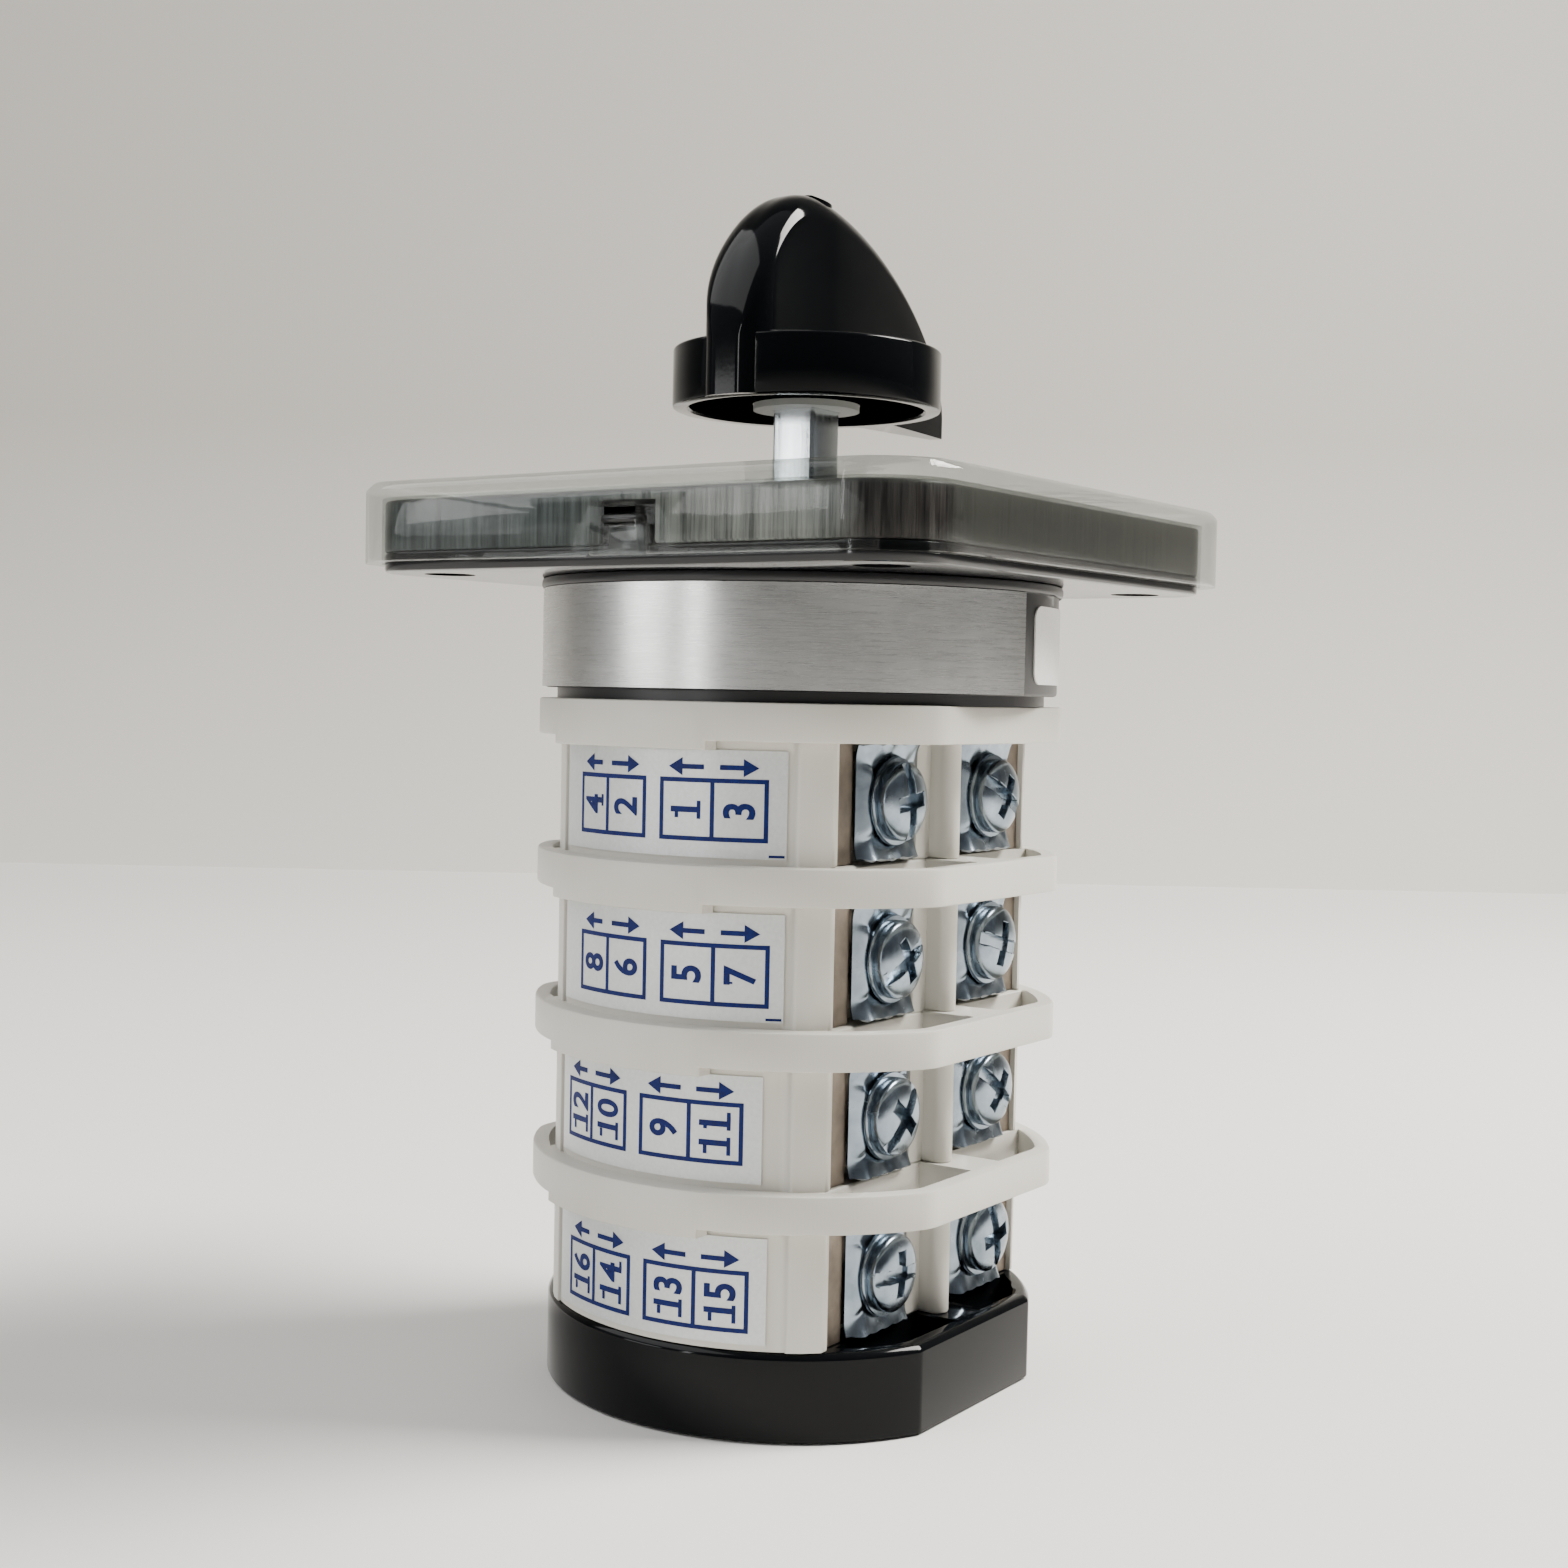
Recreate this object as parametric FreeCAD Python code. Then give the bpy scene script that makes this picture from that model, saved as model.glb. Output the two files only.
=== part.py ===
import FreeCAD, Part
import math
import os

# A four-stage rotary cam switch for panel mounting, standing on its end cap with the knob up.
# Millimetres. +Z runs up along the shaft, the labels face -Y and the terminals face +X and -X.
# The origin is the middle of the end cap's underside.

V = FreeCAD.Vector
HALF_TURN = 180.0
QUARTER_TURN = 90.0
TOUCH = 1e-6                # two lengths this close are the same
HEX_SIDES = 6
HEX_STEP = 2 * HALF_TURN / HEX_SIDES
OVERCUT = 1.0               # how far a cutting tool reaches past the piece

# Stack of stages
STAGE_COUNT = 4
STAGE_PITCH = 14.25
STAGE_FLOOR = 1.2
END_CAP_HEIGHT = 8.0
WORK_PLANE = 5.6            # height of the cam, contacts and terminal screws above a stage's floor line

# Plan of one stage housing
FACE_HALF_WIDTH = 14.2
CORNER_CHAMFER = 1.4
SIDE_STEP = 0.5             # wall left between a terminal recess and the body's corner
COLUMN_POST = 3.6           # half the wall between the two terminals of a side
CORNER_POST = 3.325         # wall between a terminal and the body's corner
BODY_WALL = 1.9
SIDE_WALL = 1.6
CHAMBER_CORNER = 0.8
LABEL_EDGE = 1.2            # from the label's recess to the face's corner
LABEL_RECESS_DEPTH = 0.25
LABEL_THICKNESS = 0.18
LABEL_SIDE_MARGIN = 0.7
LABEL_BOTTOM_MARGIN = 0.6

# Guard hoop round the top of each stage
HOOP_REACH = 1.75           # how far the hoop stands out in front
HOOP_SIDE_REACH = 7.1       # and at the sides, over the terminals
HOOP_HEIGHT = 3.4
HOOP_WALL = 1.5
HOOP_CORNER = 4.5
HOOP_TAB_DROP = 0.8
HOOP_TAB_LEFT = -12.5
HOOP_TAB_RIGHT = 6.5
WEB_HALF_WIDTH = 2.6
WEB_OFFSET = 1.0

# Partition ribs between the terminals, and the two tie screws behind them
RIB_REACH = 1.2
RIB_RADIUS = 1.2
TIE_INSET = 1.6
TIE_RADIUS = 1.5
TIE_CLEARANCE = 0.15
TIE_HEAD_RADIUS = 2.7
TIE_HEAD_HEIGHT = 2.0
TIE_HEAD_DEPTH = 1.0        # from the end cap's underside to the screw head
TIE_THREAD_IN_NUT = 2.4
TIE_NUT_HEIGHT = 1.6
TIE_NUT_RADIUS = 3.1
POCKET_CLEARANCE = 0.2

# Terminals
RECESS_DEPTH = 2.8
RECESS_HALF_WIDTH = 5.2
RECESS_ROOF_RISE = 0.6      # how far the recess reaches up behind the hoop
TERMINAL_PLATE = 1.4
TERMINAL_PLATE_GAP = 0.1
TERMINAL_PLATE_HALF_HEIGHT = 4.4
CLAMP_GAP = 1.1
CLAMP_THICKNESS = 0.9
CLAMP_SIDE_GAP = 0.2
CLAMP_HALF_HEIGHT = 5.1
CLAMP_LIP = 0.7
CLAMP_LIP_OUT = 0.7
WASHER_THICKNESS = 0.5
WASHER_MARGIN = 1.0
WASHER_LEDGE = 0.45
SCREW_HEAD_HEIGHT = 1.6
SCREW_SHANK_RADIUS = 1.75
SHANK_SIDES = 8             # screws and other repeats are drawn with flat sides
HEAD_SIDES = 12
SCREW_END_GAP = 0.3
SCREW_TIP_DEPTH = 1.1       # how far the screw tip reaches behind the recess floor
SCREW_SLOT_WIDTH = 1.1
SCREW_SLOT_DEPTH = 0.8
SCREW_TURN_STEP = 37.0      # the screws stop at different angles, as tightened ones do
THREAD_CLEARANCE = 0.03
HOLE_CLEARANCE = 0.25

# Fixed and moving contacts
ARM_THICKNESS = 1.2
ARM_HALF_HEIGHT = 2.4
ARM_GUIDE_GAP = 0.58
ARM_SLOT_CLEARANCE = 0.15
PAD_INSET = 1.6
PAD_HALF = 1.2
PAD_HEIGHT = 0.4
CONTACT_GAP = 1.06          # opening of each contact in the middle position
BRIDGE_END = 1.8            # from a pad's middle to the bridge's end
BRIDGE_THICKNESS = 1.0
BRIDGE_HALF_HEIGHT = 1.6
BRIDGE_FIT = 0.04

# Plungers, cams and return springs
SWITCH_ANGLE = 60.0
PLUNGER_TRAVEL = 1.0        # each way from the middle position
NOSE_RADIUS = 1.0
CAM_CLEARANCE = 0.12
CAM_MID_RADIUS = 6.6
CAM_HALF_HEIGHT = 2.5
CAM_ARCS = 4                # arcs that draw each flank's spiral
CAM_HUB_RADIUS = 4.6
CAM_HUB_CLEARANCE = 0.3
CAM_END_GAP = 0.05
PLUNGER_HALF_WIDTH = 3.0
PLUNGER_HALF_HEIGHT = 2.6
PLUNGER_SHOULDER = 1.6
PLUNGER_TAIL = 1.5
GUIDE_CLEARANCE = 0.12
GUIDE_WALL = 1.3
GUIDE_CAM_GAP = 0.8
GUIDE_LENGTH = 2.2
SPRING_SPACE = 5.04         # from the plunger's end to the chamber's wall
LEAF_HALF_LENGTH = 7.0
LEAF_HALF_FLAT = 1.5
LEAF_HALF_HEIGHT = 1.8
LEAF_THICKNESS = 0.3
SPRING_END_GAP = 0.1

# Shaft
SHAFT_SIDE = 4.8
SHAFT_FIT = 0.05
SHAFT_CORNER = 0.3
SHAFT_SEAT_DEPTH = 4.6      # how far the shaft reaches down into the end cap
SHAFT_INTO_KNOB = 10.0
SHAFT_END_GAP = 0.3

# Head with the indexing mechanism
NECK_REACH = 0.1
NECK_HEIGHT = 1.0
HEAD_STEP = 1.2
HEAD_HEIGHT = 10.4
HEAD_WALL = 2.4
HEAD_TOP = 1.6
RIM_PROUD = 0.4
RIM_HEIGHT = 1.0
BAND_THICKNESS = 0.25
BAND_HALF_ANGLE = 88.0
BAND_MARGIN = 0.1
STICKER_THICKNESS = 0.15
STICKER_START_ANGLE = 3.0
STICKER_LENGTH = 12.5
STICKER_HEIGHT = 7.2
STICKER_CORNER = 1.2
WHEEL_HALF_FLATS = 9.5
WHEEL_CORNER = 1.2
WHEEL_HEIGHT = 4.4
WHEEL_RISE = 1.4
WHEEL_HUB_RADIUS = 5.4
BEARING_CLEARANCE = 0.06
SPRING_LEAF = 0.8
SPRING_LEAF_HEIGHT = 3.6
SPRING_LEAF_GAP = 0.1
SPRING_LEG_DOWN = 13.0
SPRING_BEND_CENTRE = 8.0
KEEPER_GAP = 1.6            # room for the spring's legs to spread
KEEPER_WIDTH = 2.0
STOP_THICKNESS = 1.0
STOP_PLATE_FIT = 0.02
STOP_RISE = 0.5
STOP_DISC_RADIUS = 8.0
STOP_LUG_RADIUS = 12.4
STOP_LUG_HALF_ANGLE = 10.0
STOP_BLOCK_ANGLE = 8.0
STOP_BLOCK_INNER = 9.4
STOP_CLEARANCE = 0.8        # degrees left between lug and block at each end of the turn

# Front plate, legend and clear cover
COVER_SIZE = 64.0
COVER_CORNER = 8.3
COVER_HEIGHT = 7.4
COVER_WALL = 1.5
COVER_TOP = 1.4
COVER_LIFT = 0.8            # how far the cover's rim stands above the head
COVER_EDGE = 0.7
PLATE_HEIGHT = 1.8
PLATE_CLEARANCE = 0.3
LEGEND_WALL = 1.0
LEGEND_TOP_GAP = 0.2
SHAFT_HOLE_RADIUS = 5.8
MOUNT_EDGE = 6.2            # from a mounting hole's middle to the back plate's edge
MOUNT_HOLE_RADIUS = 2.4
LATCH_OFFSET = 2.2
LATCH_WIDTH = 6.2
LATCH_WINDOW_WIDTH = 4.5
LATCH_WINDOW_HEIGHT = 1.6
LATCH_WINDOW_RISE = 2.6
LATCH_SLIT = 0.5
CATCH_CLEARANCE = 0.15
CATCH_POST = 1.2
PLATE_SCREW_SPACING = 26.0
PLATE_SCREW_RADIUS = 1.45
PLATE_SCREW_HEAD_RADIUS = 2.8
PLATE_SCREW_HEAD_HEIGHT = 1.6
PLATE_SCREW_LENGTH = 3.2
BOSS_WALL = 1.2

# Knob
KNOB_GAP = 8.6              # between the cover and the knob's rim
KNOB_RADIUS = 13.0
KNOB_SKIRT = 5.7
KNOB_WALL = 1.6
KNOB_EDGE = 0.35
KNOB_WEB = 1.0
KNOB_WEB_DROP = 0.8
KNOB_HEIGHT = 20.2
KNOB_BLUNT_HALF_WIDTH = 3.8
KNOB_WAIST_HALF_WIDTH = 3.1
KNOB_TIP_HALF_WIDTH = 0.7
KNOB_POINTER_REACH = 11.8   # beyond the rim
KNOB_NOSE_REACH = 0.5
KNOB_NOSE_RADIUS = 2.4
KNOB_TIP_HEIGHT = 2.8
KNOB_SHOULDER = 0.6         # share of the grip's half width that its top edges are rounded by
KNOB_BLUNT_POWER = 2.0      # fullness of the ridge's curve in front of the peak
KNOB_REAR_POWER = 1.6       # and behind it
KNOB_TAPER_POWER = 1.3
KNOB_SECTIONS = 12          # flats from the peak to each end of the grip
SHOULDER_STEPS = 3
KNOB_PEAK_Y = -1.8
KNOB_BLUNT_RISE = 5.0       # height at which the blunt end starts to curve over
HUB_RADIUS = 5.2
WASHER_DROP = 0.6
CAP_RADIUS = 2.1
CAP_PROUD = 0.1
CAP_LENGTH = 4.0
CAP_FIT = 0.05
KNOB_SCREW_HEAD_RADIUS = 1.95
KNOB_SCREW_HEAD_HEIGHT = 1.5
KNOB_SCREW_RADIUS = 1.25
KNOB_SCREW_LENGTH = 8.0
KNOB_SCREW_FLOOR = 1.2

# End cap
END_CAP_REACH = 0.1
END_CAP_SIDE_REACH = 5.75
END_CAP_CORNER = 1.2
END_CAP_WALL = 1.6
END_CAP_WELL = 2.2
END_CAP_EDGE = 0.5
SHAFT_BORE_CLEARANCE = 0.08

# Worked out from the above
STACK_TOP = END_CAP_HEIGHT + STAGE_COUNT * STAGE_PITCH
HEAD_BOTTOM = STACK_TOP + NECK_HEIGHT
HEAD_TOP_FACE = HEAD_BOTTOM + HEAD_HEIGHT
HEAD_CEILING = HEAD_TOP_FACE - HEAD_TOP
COVER_BOTTOM = HEAD_TOP_FACE + COVER_LIFT
COVER_TOP_FACE = COVER_BOTTOM + COVER_HEIGHT
KNOB_BOTTOM = COVER_TOP_FACE + KNOB_GAP
TERMINAL_Y = COLUMN_POST + RECESS_HALF_WIDTH
SIDE_END_Y = TERMINAL_Y + RECESS_HALF_WIDTH + CORNER_POST
BODY_SIDE = FACE_HALF_WIDTH + CORNER_CHAMFER
FACE_END_Y = SIDE_END_Y + CORNER_CHAMFER
BODY_RADIUS = math.hypot(FACE_HALF_WIDTH, FACE_END_Y)
HOOP_RADIUS = BODY_RADIUS + HOOP_REACH
HOOP_HALF_WIDTH = BODY_SIDE + HOOP_SIDE_REACH
END_CAP_RADIUS = BODY_RADIUS + END_CAP_REACH
END_CAP_HALF_WIDTH = BODY_SIDE + END_CAP_SIDE_REACH
NECK_RADIUS = BODY_RADIUS + NECK_REACH
HEAD_RADIUS = NECK_RADIUS + HEAD_STEP
RIB_X = BODY_SIDE + RIB_REACH
TIE_X = BODY_SIDE - TIE_INSET
RECESS_FLOOR_X = BODY_SIDE - RECESS_DEPTH
CHAMBER_HALF_WIDTH = RECESS_FLOOR_X - SIDE_WALL
LABEL_RECESS_HALF_WIDTH = FACE_HALF_WIDTH - LABEL_EDGE
CLAMP_HALF_WIDTH = RECESS_HALF_WIDTH - CLAMP_SIDE_GAP
WASHER_RADIUS = CLAMP_HALF_WIDTH - WASHER_MARGIN
SCREW_HEAD_RADIUS = WASHER_RADIUS - WASHER_LEDGE
TERMINAL_FACE_X = RECESS_FLOOR_X + TERMINAL_PLATE_GAP + TERMINAL_PLATE
CLAMP_INNER_X = TERMINAL_FACE_X + CLAMP_GAP
CLAMP_OUTER_X = CLAMP_INNER_X + CLAMP_THICKNESS
HEAD_SEAT_X = CLAMP_OUTER_X + WASHER_THICKNESS
CHAMBER_RADIUS = BODY_RADIUS - BODY_WALL
PLUNGER_END_Y = CHAMBER_RADIUS - SPRING_SPACE
BRIDGE_Y = PLUNGER_END_Y - PLUNGER_TAIL - BRIDGE_THICKNESS
ARM_OUTER_Y = BRIDGE_Y - 2 * PAD_HEIGHT - CONTACT_GAP
ARM_INNER_Y = ARM_OUTER_Y - ARM_THICKNESS
GUIDE_HALF_WIDTH = PLUNGER_HALF_WIDTH + GUIDE_CLEARANCE + GUIDE_WALL
ARM_END_X = GUIDE_HALF_WIDTH + ARM_GUIDE_GAP
PAD_X = ARM_END_X + PAD_INSET
BRIDGE_HALF_LENGTH = PAD_X + BRIDGE_END
GUIDE_START_Y = CAM_MID_RADIUS + PLUNGER_TRAVEL + GUIDE_CAM_GAP
GUIDE_END_Y = GUIDE_START_Y + GUIDE_LENGTH
NOSE_Y = CAM_MID_RADIUS + CAM_CLEARANCE + NOSE_RADIUS
SHAFT_BORE_RADIUS = SHAFT_SIDE / math.sqrt(2) - SHAFT_CORNER * (math.sqrt(2) - 1) + SHAFT_BORE_CLEARANCE
WHEEL_BOTTOM = HEAD_BOTTOM + WHEEL_RISE
STOP_BOTTOM = WHEEL_BOTTOM + WHEEL_HEIGHT + STOP_RISE
COVER_INNER_SIZE = COVER_SIZE - 2 * COVER_WALL
PLATE_SIZE = COVER_INNER_SIZE - 2 * PLATE_CLEARANCE
MOUNT_SPACING = PLATE_SIZE - 2 * MOUNT_EDGE
PLATE_CORNER = COVER_CORNER - COVER_WALL - PLATE_CLEARANCE
PLATE_TOP_FACE = HEAD_TOP_FACE + PLATE_HEIGHT
LEGEND_TOP_FACE = COVER_TOP_FACE - COVER_TOP - LEGEND_TOP_GAP
WINDOW_BOTTOM = COVER_BOTTOM + LATCH_WINDOW_RISE
SHAFT_BOTTOM = END_CAP_HEIGHT - SHAFT_SEAT_DEPTH
SHAFT_TOP = KNOB_BOTTOM + SHAFT_INTO_KNOB
KNOB_SCREW_SEAT = SHAFT_TOP + KNOB_SCREW_FLOOR
KNOB_TIP_Y = KNOB_RADIUS + KNOB_POINTER_REACH
KNOB_NOSE_Y = -KNOB_RADIUS - KNOB_NOSE_REACH


def block(x0, x1, y0, y1, z0, z1):
    """A rectangular block between two corners."""
    return Part.makeBox(x1 - x0, y1 - y0, z1 - z0, V(x0, y0, z0))


def rod(radius, z0, z1, x=0.0, y=0.0):
    """An upright round bar."""
    return Part.makeCylinder(radius, z1 - z0, V(x, y, z0), V(0, 0, 1))


def cross_rod(radius, x0, x1, y, z):
    """A round bar along X."""
    return Part.makeCylinder(radius, x1 - x0, V(x0, y, z), V(1, 0, 0))


def sided_bar(sides, radius, foot, push):
    """A bar with flat sides, from its foot along X or Z. It keeps what repeats light."""
    corners = []
    for i in range(sides):
        angle = math.tau * (i + 0.5) / sides
        u = radius * math.cos(angle)
        v = radius * math.sin(angle)
        corners.append(foot + (V(0, u, v) if push.x else V(u, v, 0)))
    return prism(lines(corners), push)


def shank(radius, x0, x1, y, z):
    """A terminal screw's shank along X, or the hole for it."""
    return sided_bar(SHANK_SIDES, radius, V(x0, y, z), V(x1 - x0, 0, 0))


def bolt(sides, radius, z0, z1, x=0.0, y=0.0):
    """An upright screw's shank or head, or the hole for it."""
    return sided_bar(sides, radius, V(x, y, z0), V(0, 0, z1 - z0))


def prism(edges, direction):
    """A solid made by pushing a closed outline along a direction."""
    return Part.Face(Part.Wire(Part.__sortEdges__(edges))).extrude(direction)


def lines(points):
    """Straight edges through the points and back to the first."""
    closed = points + [points[0]]
    return [Part.makeLine(a, b) for a, b in zip(closed, closed[1:])]


def arc(a, b, c):
    """A circular edge from a through b to c."""
    return Part.Arc(a, b, c).toShape()


def polar(radius, degrees, z=0.0):
    """A point at a radius and an angle from +X."""
    return V(radius * math.cos(math.radians(degrees)), radius * math.sin(math.radians(degrees)), z)


def upright_edges(solid):
    """The straight edges of a solid that run along Z."""
    found = []
    for edge in solid.Edges:
        along = edge.Vertexes[0].Point.sub(edge.Vertexes[-1].Point)
        if isinstance(edge.Curve, Part.Line) and abs(along.x) + abs(along.y) < TOUCH:
            found.append(edge)
    return found


def level_edges(solid, z):
    """The edges of a solid that lie at one height."""
    return [e for e in solid.Edges if abs(e.BoundBox.ZMin - z) < TOUCH and abs(e.BoundBox.ZMax - z) < TOUCH]


def turned(shape, degrees):
    """A copy turned about the shaft's axis."""
    copy = shape.copy()
    copy.rotate(V(0, 0, 0), V(0, 0, 1), degrees)
    return copy


def mirrored_x(shape):
    """A copy mirrored from +X to -X."""
    return shape.mirror(V(0, 0, 0), V(1, 0, 0))


def lifted(shape, z):
    """A copy moved up."""
    copy = shape.copy()
    copy.translate(V(0, 0, z))
    return copy


def four_ways(shape):
    """The shape and its mirror images across X and across Y, four in all."""
    pair = [shape, mirrored_x(shape)]
    return pair + [s.mirror(V(0, 0, 0), V(0, 1, 0)) for s in pair]


def flatted_round(radius, half_width, corner, z0, z1):
    """A round slab with a flat on each X side and its four upright corners rounded."""
    slab = rod(radius, z0, z1).common(block(-half_width, half_width, -radius, radius, z0, z1))
    return slab.makeFillet(corner, upright_edges(slab))


def rounded_square(size, corner, z0, z1):
    """A square slab with rounded upright corners."""
    slab = block(-size / 2, size / 2, -size / 2, size / 2, z0, z1)
    return slab.makeFillet(corner, upright_edges(slab))


def curved_strip(inner, outer, start, end, z0, z1):
    """A strip of a thin cylinder between two angles."""
    middle = (start + end) / 2
    edges = [
        arc(polar(outer, start, z0), polar(outer, middle, z0), polar(outer, end, z0)),
        Part.makeLine(polar(outer, end, z0), polar(inner, end, z0)),
        arc(polar(inner, end, z0), polar(inner, middle, z0), polar(inner, start, z0)),
        Part.makeLine(polar(inner, start, z0), polar(outer, start, z0)),
    ]
    return prism(edges, V(0, 0, z1 - z0))


def body_prism(z0, z1):
    """The plan of a stage's body: curved front and back, chamfered corners and flat sides."""
    corners = [V(FACE_HALF_WIDTH, -FACE_END_Y, z0), V(BODY_SIDE, -SIDE_END_Y, z0),
               V(BODY_SIDE, SIDE_END_Y, z0), V(FACE_HALF_WIDTH, FACE_END_Y, z0)]
    left = [V(-p.x, p.y, z0) for p in corners]
    edges = [Part.makeLine(a, b) for a, b in zip(corners, corners[1:])]
    edges += [Part.makeLine(a, b) for a, b in zip(left, left[1:])]
    edges.append(arc(left[0], V(0, -BODY_RADIUS, z0), corners[0]))
    edges.append(arc(left[-1], V(0, BODY_RADIUS, z0), corners[-1]))
    return prism(edges, V(0, 0, z1 - z0))


def guard_hoop(top):
    """The hoop that keeps fingers off the terminals, with open pockets beside the body."""
    bottom = top - HOOP_HEIGHT
    outer = flatted_round(HOOP_RADIUS, HOOP_HALF_WIDTH, HOOP_CORNER, bottom, top)
    inner = flatted_round(HOOP_RADIUS - HOOP_WALL, HOOP_HALF_WIDTH - HOOP_WALL, HOOP_CORNER - HOOP_WALL,
                          bottom, top)
    beside = block(BODY_SIDE, HOOP_HALF_WIDTH, -HOOP_RADIUS, HOOP_RADIUS, bottom, top)
    web = block(BODY_SIDE, HOOP_HALF_WIDTH, WEB_OFFSET - WEB_HALF_WIDTH, WEB_OFFSET + WEB_HALF_WIDTH,
                bottom, top)
    pocket = inner.common(beside).cut(web)
    tab_slab = block(HOOP_TAB_LEFT, HOOP_TAB_RIGHT, -HOOP_RADIUS, 0, bottom - HOOP_TAB_DROP, bottom)
    tab_round = rod(HOOP_RADIUS, bottom - HOOP_TAB_DROP, bottom)
    tab = tab_round.common(tab_slab).cut(rod(BODY_RADIUS, bottom - HOOP_TAB_DROP, bottom))
    return outer.cut(pocket).cut(turned(pocket, HALF_TURN)).fuse([tab, turned(tab, HALF_TURN)])


def label_recess(z0, z1):
    """The shallow band on the curved face that the label lies in."""
    ring = rod(BODY_RADIUS + OVERCUT, z0, z1).cut(rod(BODY_RADIUS - LABEL_RECESS_DEPTH, z0, z1))
    return ring.common(block(-LABEL_RECESS_HALF_WIDTH, LABEL_RECESS_HALF_WIDTH,
                             -BODY_RADIUS - OVERCUT, 0, z0, z1))


def terminal_cuts(floor):
    """What is cut from the body for one terminal at +X, -Y: recess, screw hole and arm slot."""
    y0 = -SIDE_END_Y + SIDE_STEP
    y1 = -TERMINAL_Y + RECESS_HALF_WIDTH
    under_hoop = floor + STAGE_PITCH - HOOP_HEIGHT
    centre = floor + WORK_PLANE
    recess = block(RECESS_FLOOR_X, BODY_SIDE, y0, y1, floor, under_hoop + RECESS_ROOF_RISE)
    tip = shank(SCREW_SHANK_RADIUS + HOLE_CLEARANCE, RECESS_FLOOR_X - SCREW_TIP_DEPTH - SCREW_END_GAP,
                RECESS_FLOOR_X, -TERMINAL_Y, centre)
    slot = block(CHAMBER_HALF_WIDTH, RECESS_FLOOR_X, -ARM_OUTER_Y - ARM_SLOT_CLEARANCE,
                 -ARM_INNER_Y + ARM_SLOT_CLEARANCE, centre - ARM_HALF_HEIGHT - ARM_SLOT_CLEARANCE,
                 centre + ARM_HALF_HEIGHT + ARM_SLOT_CLEARANCE)
    return recess.fuse([tip, slot])


def plunger_guide(floor):
    """The trough on the stage's floor that the front plunger slides in."""
    inner = PLUNGER_HALF_WIDTH + GUIDE_CLEARANCE
    outer = GUIDE_HALF_WIDTH
    base = floor + STAGE_FLOOR
    bed = floor + WORK_PLANE - PLUNGER_HALF_HEIGHT - GUIDE_CLEARANCE
    lip = floor + WORK_PLANE + PLUNGER_HALF_HEIGHT / 2
    section = [V(-outer, -GUIDE_END_Y, base), V(outer, -GUIDE_END_Y, base), V(outer, -GUIDE_END_Y, lip),
               V(inner, -GUIDE_END_Y, lip), V(inner, -GUIDE_END_Y, bed), V(-inner, -GUIDE_END_Y, bed),
               V(-inner, -GUIDE_END_Y, lip), V(-outer, -GUIDE_END_Y, lip)]
    return prism(lines(section), V(0, GUIDE_END_Y - GUIDE_START_Y, 0))


def stage_housing(floor):
    """One moulded stage: body, partition ribs, guard hoop, chamber and terminal recesses."""
    top = floor + STAGE_PITCH
    chamber = flatted_round(CHAMBER_RADIUS, CHAMBER_HALF_WIDTH, CHAMBER_CORNER, floor + STAGE_FLOOR, top)
    shaft_hole = rod(CAM_HUB_RADIUS + CAM_HUB_CLEARANCE, floor, floor + STAGE_FLOOR)
    rib = block(BODY_SIDE, RIB_X, -RIB_RADIUS, RIB_RADIUS, floor, top)
    rib = rib.fuse(rod(RIB_RADIUS, floor, top, RIB_X))
    tie_hole = bolt(SHANK_SIDES, TIE_RADIUS + TIE_CLEARANCE, floor, top, TIE_X)
    recess = label_recess(floor, top - HOOP_HEIGHT)
    guide = plunger_guide(floor)
    body = body_prism(floor, top).cut([recess, turned(recess, HALF_TURN)])
    shell = body.fuse([rib, mirrored_x(rib), guard_hoop(top)])
    shell = shell.cut([chamber, shaft_hole, tie_hole, mirrored_x(tie_hole)])
    shell = shell.cut(four_ways(terminal_cuts(floor)))
    return shell.fuse([guide, turned(guide, HALF_TURN)]).removeSplitter()


def stage_label(floor):
    """The label on the front face of a stage."""
    inner = BODY_RADIUS - LABEL_RECESS_DEPTH
    half = math.degrees(math.asin((LABEL_RECESS_HALF_WIDTH - LABEL_SIDE_MARGIN) / inner))
    top = floor + STAGE_PITCH - HOOP_HEIGHT - HOOP_TAB_DROP
    return curved_strip(inner, inner + LABEL_THICKNESS, -QUARTER_TURN - half, -QUARTER_TURN + half,
                        floor + LABEL_BOTTOM_MARGIN, top)


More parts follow.
